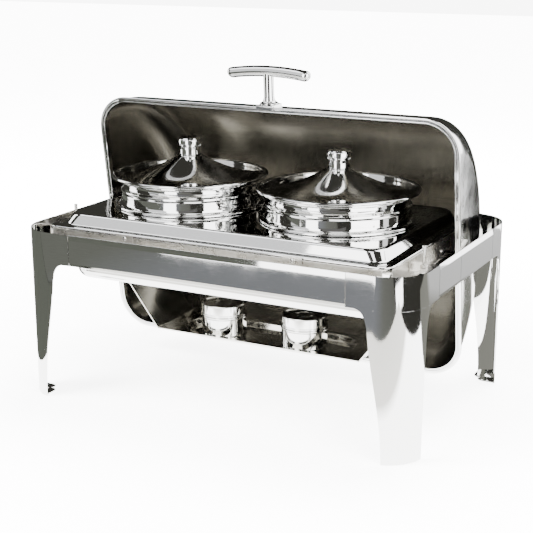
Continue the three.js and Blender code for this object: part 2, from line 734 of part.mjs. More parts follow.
for (const [side, sx] of sides) {
  const outer = sx * carrierOutX;
  const inner = sx * carrierInX;
  const y0 = middleY - carrierEnd;
  const y1 = middleY + carrierEnd;
  const ledge = sx * (panHalfX + 1);
  const lip = sx * (carrierOutX + carrierFlange);
  const zed = box(outer, y0, carrierLow, inner, y1, carrierTop)
    .add(box(outer, y0, ledgeTop - carrierSheet, ledge, y1, ledgeTop))
    .add(box(inner, y0, carrierLow, lip, y1, carrierLow + carrierSheet))
    .subtract(rod("x", shelfScrewRadius + gap, -carrierOutX - 1, carrierOutX + 1, shelfScrewAt, screwSides));
  place(stand, `carrier_rail_${side}`, zed, zinc);

  // bracket from the stand's side rail to the carrier, with a levelling bolt and its nut
  const top = closedRimZ - sideBracketBelow;
  const low = top - sheet;
  const near = sx * (carrierOutX + gap);
  const nearIn = sx * (carrierOutX + gap + sheet);
  const far = sx * wallFace;
  const farIn = sx * (wallFace - sheet);
  const boltAt = [sx * (carrierOutX + gap + boltFromCarrier), (sideBracketFront + sideBracketRear) / 2];
  const bracket = box(near, sideBracketFront, low, far, sideBracketRear, top)
    .add(box(near, sideBracketFront, low, nearIn, sideBracketRear, carrierTop))
    .add(box(farIn, sideBracketFront, low - sideBracketTail, far, sideBracketRear, top))
    .subtract(rod("z", boltRadius + gap, low - 5, top + 5, boltAt, screwSides));
  place(stand, `side_bracket_${side}`, bracket, zinc);
  const headTop = low - gap;
  const bolt = rod("z", boltRadius, headTop - 1, top + boltStand, boltAt, screwSides)
    .add(rod("z", boltHead, headTop - boltHeadThick, headTop, boltAt, 6));
  place(stand, `bracket_bolt_${side}`, bolt, zinc);
  const nut = rod("z", nutRadius, top + gap, top + gap + nutThick, boltAt, 6)
    .subtract(rod("z", boltRadius + gap, top, top + gap + nutThick + 1, boltAt, screwSides));
  place(stand, `bracket_nut_${side}`, nut, zinc);

  // front bracket: it joins the carrier to the front rail, and the closed cover's rim rests on its foot
  const x0 = sx * frontBracketX - frontBracketWidth / 2;
  const x1 = x0 + frontBracketWidth;
  const back = middleY - carrierOutY - gap;
  const face = back - carrierSheet;
  const wall = -railInnerY + gap;
  const footTop = closedRimZ - gap;
  const foot = footTop - carrierSheet;
  const frontBracket = box(x0, face, foot, x1, back, footTop + frontBracketRise)
    .add(box(x0, wall, foot, x1, back, footTop))
    .add(box(x0, wall, foot - frontBracketTail, x1, wall + carrierSheet, footTop));
  place(stand, `front_bracket_${side}`, frontBracket, zinc);
  const headFace = face - gap;
  const screw = rod("y", bracketScrewRadius, headFace - bracketScrewHead, headFace,
    [sx * frontBracketX, footTop + bracketScrewUp], screwSides);
  place(stand, `front_bracket_screw_${side}`, screw, polished);
}

// ---------- water pan ----------
// Loops go up the outside, round the flange and down the inside.
const panRows = [];
const curveSteps = 4;
for (let i = 0; i <= curveSteps; i++) {
  const angle = rad((90 * i) / curveSteps);
  panRows.push([
    panDraft + panFloorCurve * (1 - Math.sin(angle)),
    panFloorZ + panFloorCurve * (1 - Math.cos(angle)),
    0,
  ]);
}
panRows.push([0, panFlangeZ, 0], [-panFlange, panFlangeZ, 0], [-panFlange, panFlangeZ + panWall, 0]);
panRows.push([panWall, panFlangeZ + panWall, 0]);
for (let i = curveSteps; i >= 0; i--) {
  const angle = rad((90 * i) / curveSteps);
  panRows.push([
    panDraft + panWall + (panFloorCurve - panWall) * (1 - Math.sin(angle)),
    panFloorZ + panWall + (panFloorCurve - panWall) * (1 - Math.cos(angle)),
    0,
  ]);
}
const waterPan = loft(panRows.map(([inset, z]) =>
  roundedLoop(panHalfX - inset, panHalfY - inset, panCorner - Math.min(inset, panDraft), z, 0, middleY)));
place(serving, "water_pan", waterPan, mirror);

// ---------- adaptor plate ----------
// Loops run out along the underside, round the turned-down edge and back over the top.
const plateHalfX = plateLength / 2;
const plateHalfY = plateWidth / 2;
const under = plateThick;
const plateRows = [
  [plateauInset + under, plateauCorner, plateauTop - under],
  [plateauInset - riserSlope + under, plateauCorner, plateFlangeZ - under + 1.5],
  [plateauInset - riserSlope - 2, plateauCorner, plateFlangeZ - under],
  [under, plateCorner, plateFlangeZ - under],
  [under, plateCorner, plateFlangeZ - plateSkirt],
  [0, plateCorner, plateFlangeZ - plateSkirt],
  [0, plateCorner, plateFlangeZ - 1],
  [1, plateCorner, plateFlangeZ],
  [plateauInset - riserSlope - 2, plateauCorner, plateFlangeZ],
  [plateauInset - riserSlope, plateauCorner, plateFlangeZ + 1.5],
  [plateauInset - 1.5, plateauCorner, plateauTop - 3],
  [plateauInset + 2, plateauCorner, plateauTop],
];
const platePlain = loft(plateRows.map(([inset, radius, z]) =>
  roundedLoop(plateHalfX - inset, plateHalfY - inset, Math.max(radius - inset, 4), z, 0, middleY)));
const potHole = potLowerRadius + potHoleClearance;
const holes = sides.map(([, sx]) =>
  rod("z", potHole, plateauTop - 10, plateauTop + 10, [(sx * potSpacing) / 2, middleY], roundSides));
place(serving, "adaptor_plate", cut(platePlain, holes), mirror);

// ---------- pots, lids and knobs ----------
const seatZ = plateauTop + gap;
const seatTop = seatZ + 2 * potSeatRoll;
const wallTop = potRimZ - 2 * potRimRoll;
const beadZ = seatTop + (wallTop - seatTop) * 0.55;
const potInside = potLowerRadius - potWallThick;
const potThroat = potBodyRadius - potWallThick; // inside of the neck under the rim
const lidLedgeZ = potRimZ - lidSeatDrop - lidThick;
const potOutline = [
  [0, potBottomZ],
  [potLowerRadius - potBottomCurve, potBottomZ],
  [potLowerRadius, potBottomZ + potBottomCurve],
  [potLowerRadius, seatZ],
  [potSeatRadius - potSeatRoll, seatZ],
  [potSeatRadius, seatZ + potSeatRoll],
  [potSeatRadius - potSeatRoll, seatTop],
  [potSwellRadius, seatTop],
  [potSwellRadius, beadZ],
  [potBodyRadius, beadZ + potNeckRise],
  [potBodyRadius, wallTop - potNeckRise],
  [potRimRadius - potRimRoll, wallTop],
  [potRimRadius, potRimZ - potRimRoll],
  [potRimRadius - potRimRoll, potRimZ],
  [lidRadius + gap, potRimZ],
  [lidRadius + gap, lidLedgeZ],
  [lidRadius - lidLedge, lidLedgeZ - gap],
  [potThroat, wallTop - potNeckRise - potWallThick],
  [potThroat, beadZ + potNeckRise - potWallThick],
  [potSwellRadius - potWallThick, beadZ - potWallThick],
  [potSwellRadius - potWallThick, seatTop + potWallThick],
  [potInside, seatTop - potWallThick],
  [potInside, potBottomZ + potBottomCurve],
  [potInside - potBottomCurve, potBottomZ + potWallThick],
  [0, potBottomZ + potWallThick],
];
const pot = turned(potOutline, roundSides);

// The lid is a flared cone, steep at the knob and almost level at its edge.
const lidEdgeZ = potRimZ - lidSeatDrop;
const lidSteps = 5;
const lidTop = [];
const lidUnder = [];
for (let i = 0; i <= lidSteps; i++) {
  const along = i / lidSteps;
  const r = lidNeckRadius + (lidRadius - 3 - lidNeckRadius) * along;
  const z = lidEdgeZ + (lidNeckZ - lidEdgeZ) * (1 - along) ** 1.75;
  lidTop.push([r, z]);
  lidUnder.unshift([r, z - lidThick]);
}
const screwHoleRadius = knobScrewRadius + gap;
const lidOutline = [
  [screwHoleRadius, lidNeckZ],
  ...lidTop,
  [lidRadius, lidEdgeZ + 0.8],
  [lidRadius, lidEdgeZ - lidThick + 0.4],
  ...lidUnder,
  [screwHoleRadius, lidNeckZ - lidThick],
];
const lid = turned(lidOutline, roundSides);

const knobZ = lidNeckZ + gap;
const knobOutline = [
  [0, knobZ + knobScrewDepth],
  [screwHoleRadius, knobZ + knobScrewDepth],
  [screwHoleRadius, knobZ],
  [knobFootRadius - 1, knobZ],
  [knobFootRadius, knobZ + 1],
  [knobFootRadius + 0.5, knobZ + knobHeight * 0.25],
  [knobTopRadius - 1, knobZ + knobHeight * 0.55],
  [knobTopRadius, knobZ + knobHeight * 0.78],
  [knobTopRadius - 1.6, knobZ + knobHeight * 0.93],
  [knobTopRadius - 5, knobZ + knobHeight],
  [0, knobZ + knobHeight],
];
const knob = turned(knobOutline, turnedSides);
const knobScrewTop = knobZ + knobScrewDepth - 1;
const knobScrewFace = lidNeckZ - lidThick - gap;
const knobScrew = turned([
  [0, knobScrewFace - 2.2],
  [knobScrewHead - 1, knobScrewFace - 2.2],
  [knobScrewHead, knobScrewFace - 1],
  [knobScrewHead, knobScrewFace],
  [knobScrewRadius, knobScrewFace],
  [knobScrewRadius, knobScrewTop],
  [0, knobScrewTop],
], screwSides);

for (const [side, sx] of sides) {
  const station = new THREE.Group();
  station.position.set((sx * potSpacing) / 2, middleY, 0);
  serving.add(station);
  place(station, `pot_${side}`, pot, mirror);
  place(station, `pot_lid_${side}`, lid, mirror);
  place(station, `lid_knob_${side}`, knob, mirror);
  place(station, `knob_screw_${side}`, knobScrew, zinc);
}

// ---------- fuel shelf ----------
const leanTopX = carrierInX - gap - sheet / 2; // the ends stand against the carrier's side pieces
const leanTopZ = shelfZ + (leanTopX - shelfFloorHalf) / shelfLean;
const halfLine = [
  [shelfFloorHalf - 2, shelfZ - sheet / 2],
  [shelfFloorHalf + 2.4, shelfZ - sheet / 2 + 2.2],
  [leanTopX - 1.5, leanTopZ - 2],
  [leanTopX, leanTopZ + 2],
  [leanTopX, carrierLow + shelfEndUp],
];
const shelfLine = [...halfLine.map(([x, z]) => [-x, z]).reverse(), ...halfLine];
const strip = prism(ribbon(shelfLine, sheet), "y", shelfFront, shelfRear);
const wellY = (shelfFront + shelfRear) / 2;
const wellLoop = (inset, z) =>
  roundedLoop(wellHalfLength - inset, wellHalfWidth - inset, wellHalfWidth - inset - 0.5, z, 0, wellY, 8);
const wellFloor = shelfZ - wellDepth;
const wellOutside = loft([
  wellLoop(wellWallRun + 1.5, wellFloor - sheet),
  wellLoop(wellWallRun - 1.5, wellFloor - sheet + 2),
  wellLoop(0.5, shelfZ - sheet - 1.5),
  wellLoop(-1.5, shelfZ - sheet),
  wellLoop(-1.5, shelfZ - 0.5),
]);
const wellInside = loft([
  wellLoop(wellWallRun + 2, wellFloor),
  wellLoop(wellWallRun, wellFloor + 2),
  wellLoop(2, shelfZ - 1),
  wellLoop(1, shelfZ + 1),
]);
const shelfScrewHole = rod(
  "x", shelfScrewRadius + gap, -carrierOutX - 1, carrierOutX + 1, shelfScrewAt, screwSides);
const shelf = strip.add(wellOutside).subtract(wellInside).subtract(shelfScrewHole);
place(stand, "fuel_shelf", shelf, polished);
for (const [side, sx] of sides) {
  const headFace = leanTopX - sheet / 2 - gap;
  const shelfScrew = rod("x", shelfScrewRadius, headFace - 1, carrierOutX + 1.5, shelfScrewAt, screwSides)
    .add(rod("x", shelfScrewHead, headFace - 2, headFace, shelfScrewAt, screwSides));
  place(stand, `shelf_screw_${side}`, sx < 0 ? mirrored(shelfScrew) : shelfScrew, polished);
}

// ---------- fuel cans ----------
const canZ = wellFloor + gap;
const capSeam = canZ + canHeight - canCapHeight;
const lipRadius = canRadius - canWall - 1.5;
const canOutline = [
  [0, canZ],
  [canRadius - 2, canZ],
  [canRadius, canZ + 2],
  [canRadius, capSeam - 3],
  [canRadius + canBead, capSeam - 1.6],
  [canRadius, capSeam - gap],
  [lipRadius, capSeam - gap],
  [lipRadius, capSeam + canCapHeight * 0.6],
  [lipRadius - canWall, capSeam + canCapHeight * 0.6],
  [lipRadius - canWall, canZ + canWall],
  [0, canZ + canWall],
];
const canBody = turned(canOutline, turnedSides);
const capTop = canZ + canHeight;
const capOutline = [
  [0, capTop - 1.6],
  [canRadius - 4, capTop - 1.6],
  [canRadius - 2.5, capTop],
  [canRadius - 0.8, capTop - 0.5],
  [canRadius, capTop - 2],
  [canRadius, capSeam + 3],
  [canRadius + canBead, capSeam + 1.6],
  [canRadius, capSeam],
  [canRadius - canWall, capSeam],
  [canRadius - canWall, capTop - 1.6 - canWall],
  [0, capTop - 1.6 - canWall],
];
const canCap = turned(capOutline, turnedSides);
for (const [side, sx] of sides) {
  const spot = new THREE.Group();
  spot.position.set(canOffsetX + (sx * canSpacing) / 2, wellY, 0);
  serving.add(spot);
  place(spot, `fuel_can_${side}`, canBody, mirror);
  place(spot, `can_cap_${side}`, canCap, mirror);
}

export default chafer;
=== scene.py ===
"""The roll top chafer's looks: fine pressed-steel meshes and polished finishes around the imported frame."""
import json
import math

import bmesh
import bpy
from mathutils import Matrix, Vector


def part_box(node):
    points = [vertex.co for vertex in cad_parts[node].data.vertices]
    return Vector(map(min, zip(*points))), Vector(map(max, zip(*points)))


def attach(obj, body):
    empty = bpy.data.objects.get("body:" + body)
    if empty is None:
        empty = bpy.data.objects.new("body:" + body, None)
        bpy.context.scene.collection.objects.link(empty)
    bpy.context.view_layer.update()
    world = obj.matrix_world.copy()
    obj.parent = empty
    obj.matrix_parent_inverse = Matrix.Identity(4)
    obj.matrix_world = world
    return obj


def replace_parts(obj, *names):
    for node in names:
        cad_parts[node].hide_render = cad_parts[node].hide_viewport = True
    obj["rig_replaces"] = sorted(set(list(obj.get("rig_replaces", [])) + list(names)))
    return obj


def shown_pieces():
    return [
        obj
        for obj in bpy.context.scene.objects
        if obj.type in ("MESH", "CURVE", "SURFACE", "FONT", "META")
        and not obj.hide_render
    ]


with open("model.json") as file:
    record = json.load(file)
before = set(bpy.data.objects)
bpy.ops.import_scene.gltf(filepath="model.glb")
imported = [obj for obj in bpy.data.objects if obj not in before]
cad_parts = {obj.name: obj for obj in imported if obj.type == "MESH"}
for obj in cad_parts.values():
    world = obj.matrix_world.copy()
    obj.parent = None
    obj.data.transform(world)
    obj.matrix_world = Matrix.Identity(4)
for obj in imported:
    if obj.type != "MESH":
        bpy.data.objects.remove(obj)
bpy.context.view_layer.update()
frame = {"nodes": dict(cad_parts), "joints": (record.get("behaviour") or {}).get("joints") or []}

# ---------------------------------------------------------------- measures, in metres
GAP = 0.0003
SHEET = 0.0015
CORNER = 0.057  # upright corner of each leg
FRONT_WING, SIDE_WING = 0.0965, 0.0935
FOOT_FRONT, FOOT_SIDE = 0.042, 0.046
NECK_FRONT, NECK_SIDE = 0.065, 0.0525
NECK_DROP, NECK_REACH = 0.030, 0.021
TAB_WIDTH, TAB_LENGTH, TAB_THICK = 0.017, 0.030, 0.0025

hinge = next(j for j in frame["joints"] if j["name"] == "cover_hinge")
HINGE = Vector(hinge["pos_m"])
OPEN_TILT = math.radians(90 - hinge["range_deg"][1])
RIM_BEHIND_HINGE = 0.016
HANDLE_LEAN, HANDLE_DEPTH = math.radians(4.5), 0.015
SHELL_HALF_LENGTH, SHELL_HALF_HEIGHT, SHELL_DEPTH = 0.300, 0.196, 0.185
SHELL_CORNER, SHELL_DRAFT = 0.050, math.radians(5.5)

rail_low, rail_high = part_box("front_rail")
BAND_BOTTOM, BAND_TOP = rail_low.z, rail_high.z
leg_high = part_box("leg_rear_right")[1]
HALF_X, HALF_Y = leg_high.x, leg_high.y
pan_low, pan_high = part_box("water_pan")
plate_low, plate_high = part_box("adaptor_plate")
shelf_low, shelf_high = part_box("fuel_shelf")
MIDDLE_Y = (plate_low.y + plate_high.y) / 2
CORNERS = [(1, 1, 0), (-1, 1, 90), (-1, -1, 180), (1, -1, 270)]  # side, and where its arc starts
POT_HOLE = 0.1042


# ---------------------------------------------------------------- shapes
def linked(name, data):
    """A new object in the scene, at the origin."""
    made = bpy.data.objects.new(name, data)
    bpy.context.scene.collection.objects.link(made)
    return made


def mesh_piece(name, points, faces, material, sharp=38, weighted=True):
    """A shown piece: one mesh whose doubles are merged and whose faces point outwards."""
    mesh = bpy.data.meshes.new(name)
    mesh.from_pydata([tuple(p) for p in points], [], faces)
    build = bmesh.new()
    build.from_mesh(mesh)
    bmesh.ops.remove_doubles(build, verts=build.verts, dist=1e-6)
    bmesh.ops.dissolve_degenerate(build, edges=build.edges, dist=1e-7)
    bmesh.ops.recalc_face_normals(build, faces=build.faces)
    build.to_mesh(mesh)
    build.free()
    mesh.materials.append(material)
    mesh.shade_smooth()
    mesh.set_sharp_from_angle(angle=math.radians(sharp))
    piece = linked(name, mesh)
    if weighted:
        piece.modifiers.new("even shading", "WEIGHTED_NORMAL").keep_sharp = True
    return piece


def softened(piece, width, segments=2, angle=40):
    """Rounds a piece's hard edges, ahead of its even shading."""
    bevel = piece.modifiers.new("edges", "BEVEL")
    bevel.width = width
    bevel.segments = segments
    bevel.limit_method = "ANGLE"
    bevel.angle_limit = math.radians(angle)
    bevel.harden_normals = True
    piece.modifiers.move(len(piece.modifiers) - 1, 0)
    return piece


def grid_faces(rows, columns, wrap_rows=False, wrap_columns=False):
    """Quads over a grid of points kept row by row."""
    faces = []
    for i in range(rows if wrap_rows else rows - 1):
        for j in range(columns if wrap_columns else columns - 1):
            a, b = i * columns + j, i * columns + (j + 1) % columns
            c, d = ((i + 1) % rows) * columns + (j + 1) % columns, ((i + 1) % rows) * columns + j
            faces.append((a, b, c, d))
    return faces


def end_caps(rows, count):
    """The first and last rows of a grid as two faces."""
    return [tuple(range(count))[::-1], tuple(range((rows - 1) * count, rows * count))]


def turned_points(outline, centre, sides, closed):
    """Rows of points made by turning a [radius, height] outline about the upright line through centre."""
    points = []
    for radius, height in outline:
        for i in range(sides):
            angle = 2 * math.pi * i / sides
            points.append((centre[0] + radius * math.cos(angle), centre[1] + radius * math.sin(angle),
                           height))
    return points, grid_faces(len(outline), sides, wrap_rows=closed, wrap_columns=True)


def turned(name, corners, centre, material, sides=112, steps=5, sharp=38):
    """A turned piece from corners (radius, height, fillet), from axis to axis or closed on itself."""
    open_ends = corners[0][0] == 0 and corners[-1][0] == 0
    outline = rounded_path(corners, steps, closed=not open_ends)
    points, faces = turned_points(outline, centre, sides, closed=not open_ends)
    return mesh_piece(name, points, faces, material, sharp)


def rounded_path(corners, steps=5, closed=True):
    """Points of an outline whose corners (x, y, radius) are rounded by arcs."""
    points = []
    count = len(corners)
    for i, (x, y, radius) in enumerate(corners):
        here = Vector((x, y))
        if radius <= 0 or (not closed and i in (0, count - 1)):
            points.append((x, y))
            continue
        back = Vector(corners[i - 1][:2]) - here
        ahead = Vector(corners[(i + 1) % count][:2]) - here
        half = back.angle(ahead) / 2
        reach = min(radius / math.tan(half), back.length * 0.49, ahead.length * 0.49)
        round_radius = reach * math.tan(half)
        inwards = (back.normalized() + ahead.normalized()).normalized()
        middle = here + inwards * (round_radius / math.sin(half))
        first = here + back.normalized() * reach - middle
        last = here + ahead.normalized() * reach - middle
        start = math.atan2(first.y, first.x)
        sweep = (math.atan2(last.y, last.x) - start + math.pi) % (2 * math.pi) - math.pi
        for k in range(steps + 1):
            angle = start + sweep * k / steps
            points.append((middle.x + round_radius * math.cos(angle),
                           middle.y + round_radius * math.sin(angle)))
    return points


def rounded_loop(half_x, half_y, radius, z, centre_y=0.0, steps=10, edge=6):
    """A level rounded rectangle, with its straight sides divided so that loops of it skin evenly."""
    def corner_point(sx, sy, degrees):
        angle = math.radians(degrees)
        return Vector((
            sx * (half_x - radius) + radius * math.cos(angle),
            centre_y + sy * (half_y - radius) + radius * math.sin(angle),
            z,
        ))

    loop = []
    for index, (sx, sy, start) in enumerate(CORNERS):
        loop += [corner_point(sx, sy, start + 90 * k / steps) for k in range(steps + 1)]
        begin, end = loop[-1], corner_point(*CORNERS[(index + 1) % 4])
        loop += [begin.lerp(end, k / edge) for k in range(1, edge)]
    return loop


def skinned(name, loops, material, sharp=38):
    """A skin over loops of the same number of points, closed by its first and last loops."""
    count = len(loops[0])
    points = [p for loop in loops for p in loop]
    faces = grid_faces(len(loops), count, wrap_columns=True) + end_caps(len(loops), count)
    return mesh_piece(name, points, faces, material, sharp)


def extruded(name, outline, axis, low, high, material):
    """A closed outline drawn in the plane across X or Y, carried from low to high along it."""
    loops = [[(along, u, v) if axis == "x" else (u, along, v) for u, v in outline] for along in (low, high)]
    return skinned(name, loops, material)


def swept(name, path, section, material):
    """A section carried along a closed path of (point, sideways, upwards) stations."""
    points = [point + sideways * u + upwards * v for point, sideways, upwards in path for u, v in section]
    faces = grid_faces(len(path), len(section), wrap_rows=True, wrap_columns=True)
    return mesh_piece(name, points, faces, material, 60)


def circle(radius, sides):
    return [(radius * math.cos(2 * math.pi * i / sides), radius * math.sin(2 * math.pi * i / sides))
            for i in range(sides)]


def finished(piece, body, slot, *nodes):
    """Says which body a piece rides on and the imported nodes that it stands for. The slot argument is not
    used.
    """
    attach(piece, body)
    if nodes:
        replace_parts(piece, *nodes)
    return piece


def bezier(p0, p1, p2, p3, t):
    return sum(c * p for c, p in zip(((1 - t) ** 3, 3 * t * (1 - t) ** 2, 3 * t * t * (1 - t), t ** 3),
                                     (p0, p1, p2, p3)))


# ---------------------------------------------------------------- finishes
def new_material(name):
    material = bpy.data.materials.new(name)
    material.use_nodes = True
    tree = material.node_tree
    return material, tree, tree.nodes["Principled BSDF"]


def node(tree, kind, **inputs):
    """A node whose inputs are set to values or fed by other nodes' outputs."""
    made = tree.nodes.new(kind)
    for key, value in inputs.items():
        entry = made.inputs[key.replace("_", " ")]
        if isinstance(value, bpy.types.NodeSocket):
            tree.links.new(value, entry)
        else:
            entry.default_value = value
    return made


def mapped(tree, value, from_min, from_max, to_min=0.0, to_max=1.0):
    """A value carried from one range to another."""
    return node(tree, "ShaderNodeMapRange", Value=value, From_Min=from_min, From_Max=from_max,
                To_Min=to_min, To_Max=to_max).outputs["Result"]


def length_of(tree, vector):
    length = node(tree, "ShaderNodeVectorMath")
    length.operation = "LENGTH"
    tree.links.new(vector, length.inputs[0])
    return length.outputs["Value"]


BRIGHT, BRIGHT_DARK = (0.86, 0.86, 0.85), (0.80, 0.80, 0.79)


def steel(name, rough, rough_spread, stretch, color=BRIGHT, dark=BRIGHT_DARK, grain=900.0,
          grain_bump=0.02, wave=6.0, wave_bump=0.03, around=None):
    """Polished or brushed sheet steel.

    stretch is the grain's scale along X, Y and Z; around turns it into rings about an upright axis there.
    """
    material, tree, shader = new_material(name)
    links = tree.links
    place = node(tree, "ShaderNodeTexCoord").outputs["Object"]
    mapping = node(tree, "ShaderNodeMapping", Vector=place)
    vector = mapping.outputs["Vector"]
    if around is not None:
        mapping.inputs["Location"].default_value = (-around[0], -around[1], 0)
        split = node(tree, "ShaderNodeSeparateXYZ", Vector=vector).outputs
        flat = node(tree, "ShaderNodeCombineXYZ", X=split["X"], Y=split["Y"]).outputs["Vector"]
        vector = node(tree, "ShaderNodeCombineXYZ", X=length_of(tree, flat), Z=split["Z"]).outputs["Vector"]
    else:
        mapping.inputs["Scale"].default_value = stretch
    fine = node(tree, "ShaderNodeTexNoise", Vector=vector, Scale=grain, Detail=4.0,
                Roughness=0.6).outputs["Fac"]
    broad = node(tree, "ShaderNodeTexNoise", Vector=place, Scale=wave, Detail=2.0,
                 Roughness=0.5).outputs["Fac"]
    smudge = node(tree, "ShaderNodeTexNoise", Vector=place, Scale=23.0, Detail=5.0,
                  Roughness=0.65, Distortion=0.4).outputs["Fac"]

    tone = tree.nodes.new("ShaderNodeMix")
    tone.data_type = "RGBA"
    tone.inputs["A"].default_value = (*dark, 1)
    tone.inputs["B"].default_value = (*color, 1)
    links.new(mapped(tree, fine, 0.3, 0.62), tone.inputs["Factor"])
    links.new(tone.outputs["Result"], shader.inputs["Base Color"])
    blur = mapped(tree, smudge, 0.35, 0.7, rough, rough + rough_spread)
    links.new(blur, shader.inputs["Roughness"])
    big = node(tree, "ShaderNodeBump", Strength=wave_bump, Distance=0.01, Height=broad)
    small = node(tree, "ShaderNodeBump", Strength=grain_bump, Distance=0.0002, Height=fine,
                 Normal=big.outputs["Normal"])
    links.new(small.outputs["Normal"], shader.inputs["Normal"])
    shader.inputs["Metallic"].default_value = 1.0
    return material


stand_steel = steel("stand_mirror_steel", 0.03, 0.03, (0.05, 1, 1), wave_bump=0.004)
plate_steel = steel("plate_mirror_steel", 0.03, 0.04, (0.2, 1, 1), wave_bump=0.012)
pan_steel = steel("pan_drawn_steel", 0.07, 0.08, (0.2, 1, 1), wave_bump=0.05)
cover_out = steel("cover_polished_outside", 0.06, 0.05, (0.04, 1, 1), wave_bump=0.02)
# the inside's base colours are painted darker and warmer than the outside's steel: painted shade; only its
# rougher brushing and grain are real
cover_inside_painted_shade = steel("cover_brushed_inside_painted_shade", 0.17, 0.06, (0.03, 1, 1), (0.27, 0.260, 0.233), (0.20, 0.193, 0.173),
                 grain=700.0, grain_bump=0.05, wave=3.0, wave_bump=0.02)
rim_steel = steel("rim_rolled_steel", 0.08, 0.05, (0.3, 1, 1), wave_bump=0.03)
bracket_steel = steel("bracket_rolled_steel", 0.22, 0.16, (0.2, 1, 1), (0.70, 0.68, 0.64), (0.55, 0.53, 0.49),
                      grain=500.0, grain_bump=0.1)
shelf_steel = steel("shelf_polished_steel", 0.08, 0.1, (0.1, 1, 1), (0.76, 0.75, 0.71), (0.62, 0.61, 0.57),
                    wave_bump=0.04)
screw_steel = steel("screw_bright_steel", 0.16, 0.1, (1, 1, 1), (0.78, 0.77, 0.74), (0.6, 0.59, 0.56))
handle_steel = steel("handle_mirror_steel", 0.03, 0.03, (0.1, 1, 1), wave_bump=0.01)


# ---------------------------------------------------------------- stand
def leg_edge_rows():
    """(front wing, side wing, height) up a leg's curved edges, then up the band."""
    rows = []
    neck_z = BAND_BOTTOM - NECK_DROP
    for i in range(19):
        t = i / 18
        z = bezier(0, BAND_BOTTOM * 0.35, BAND_BOTTOM * 0.6, neck_z, t)
        rows.append((
            bezier(FOOT_FRONT, FOOT_FRONT + 0.001, NECK_FRONT - 0.004, NECK_FRONT, t),
            bezier(FOOT_SIDE, FOOT_SIDE + 0.001, NECK_SIDE - 0.004, NECK_SIDE, t),
            z,
        ))
    for i in range(1, 17):
        t = i / 16
        z = bezier(neck_z, BAND_BOTTOM - NECK_DROP * 0.35, BAND_BOTTOM, BAND_BOTTOM, t)
        rows.append((*(bezier(n, n + 0.003, n + NECK_REACH * 0.4, n + NECK_REACH, t)
                       for n in (NECK_FRONT, NECK_SIDE)), z))
    rows.append((FRONT_WING, SIDE_WING, BAND_BOTTOM + 0.00005))
    for i in range(1, 9):
        rows.append((FRONT_WING, SIDE_WING, BAND_BOTTOM + (BAND_TOP - BAND_BOTTOM) * i / 8))
    return rows


def leg_plan_point(s, inset):
    """A point of the leg's plan, set in by inset, at distance s along it from the corner's start."""
    arc = CORNER * math.pi / 2
    centre_x, centre_y = HALF_X - CORNER, HALF_Y - CORNER
    radius = CORNER - inset
    if s < 0:
        return centre_x + s, HALF_Y - inset
    if s > arc:
        return HALF_X - inset, centre_y - (s - arc)
    angle = math.pi / 2 - s / CORNER
    return centre_x + radius * math.cos(angle), centre_y + radius * math.sin(angle)


def wing_start(wing):
    """Distance before the corner's start at which a wing of that length ends."""
    return -(wing - CORNER) if wing > CORNER else CORNER * math.asin((CORNER - wing) / CORNER)


def tab_faces(points, faces, across, length, along_x):
    """A round-ended tab folded in at the foot; it starts at the inside of the leg's rounded corner."""
    start = (HALF_X if along_x else HALF_Y) - SHEET * 0.6
    middle = (HALF_Y if along_x else HALF_X) - across
    half = TAB_WIDTH / 2
    corner_u, corner_v = start + SHEET * 0.6 - CORNER, (HALF_Y if along_x else HALF_X) - CORNER

    def at_wall(v):
        return corner_u + math.sqrt(max((CORNER - SHEET * 0.6) ** 2 - max(v - corner_v, 0.0) ** 2, 0.0))

    outline = [(at_wall(v), v) for v in (middle + half - TAB_WIDTH * k / 10 for k in range(10, -1, -1))]
    outline += [(start - length + half - half * math.sin(math.radians(a)),
                 middle + half * math.cos(math.radians(a))) for a in range(0, 181, 15)]
    base = len(points)
    rim = 0.0006
    for z, inset in ((0, rim), (rim, 0), (TAB_THICK - rim, 0), (TAB_THICK, rim)):
        for u, v in outline:
            u2 = u + (inset if u < start - length / 2 else 0)
            v2 = v - math.copysign(min(inset, abs(v - middle)), v - middle)
            points.append((u2, v2, z) if along_x else (v2, u2, z))
    count = len(outline)
    faces += [tuple(base + i for i in face) for face in grid_faces(4, count, wrap_columns=True)]
    faces += [tuple(base + i for i in face) for face in end_caps(4, count)]


def make_leg(end, side):
    sx, sy = (1 if side == "right" else -1), (1 if end == "rear" else -1)
    rows = leg_edge_rows()
    columns = 57
    arc = CORNER * math.pi / 2
    points = []
    for inset in (0.0, SHEET):
        for front, side_wing, z in rows:
            first, last = wing_start(front), arc - wing_start(side_wing)
            for j in range(columns):
                x, y = leg_plan_point(first + (last - first) * j / (columns - 1), inset)
                points.append((x, y, z))
    count = len(rows)
    faces = grid_faces(count, columns)
    inner = count * columns
    faces += [tuple(inner + i for i in face[::-1]) for face in grid_faces(count, columns)]
    edge = [i * columns for i in range(count)] + [(count - 1) * columns + j for j in range(1, columns)]
    edge += [i * columns + columns - 1 for i in range(count - 2, -1, -1)] + list(range(columns - 2, 0, -1))
    for i, here in enumerate(edge):
        ahead = edge[(i + 1) % len(edge)]
        faces.append((here, ahead, ahead + inner, here + inner))
    tab_faces(points, faces, FOOT_SIDE - TAB_WIDTH / 2 - 0.001, TAB_LENGTH, True)
    tab_faces(points, faces, FOOT_FRONT - TAB_WIDTH / 2 - 0.001, TAB_LENGTH, False)
    points = [(sx * x, sy * y, z) for x, y, z in points]
    leg = mesh_piece(f"leg_panel_{end}_{side}", points, faces, stand_steel)
    softened(leg, 0.0005, 2, 50)
    return finished(leg, "stand", "mirror_steel", f"leg_{end}_{side}")


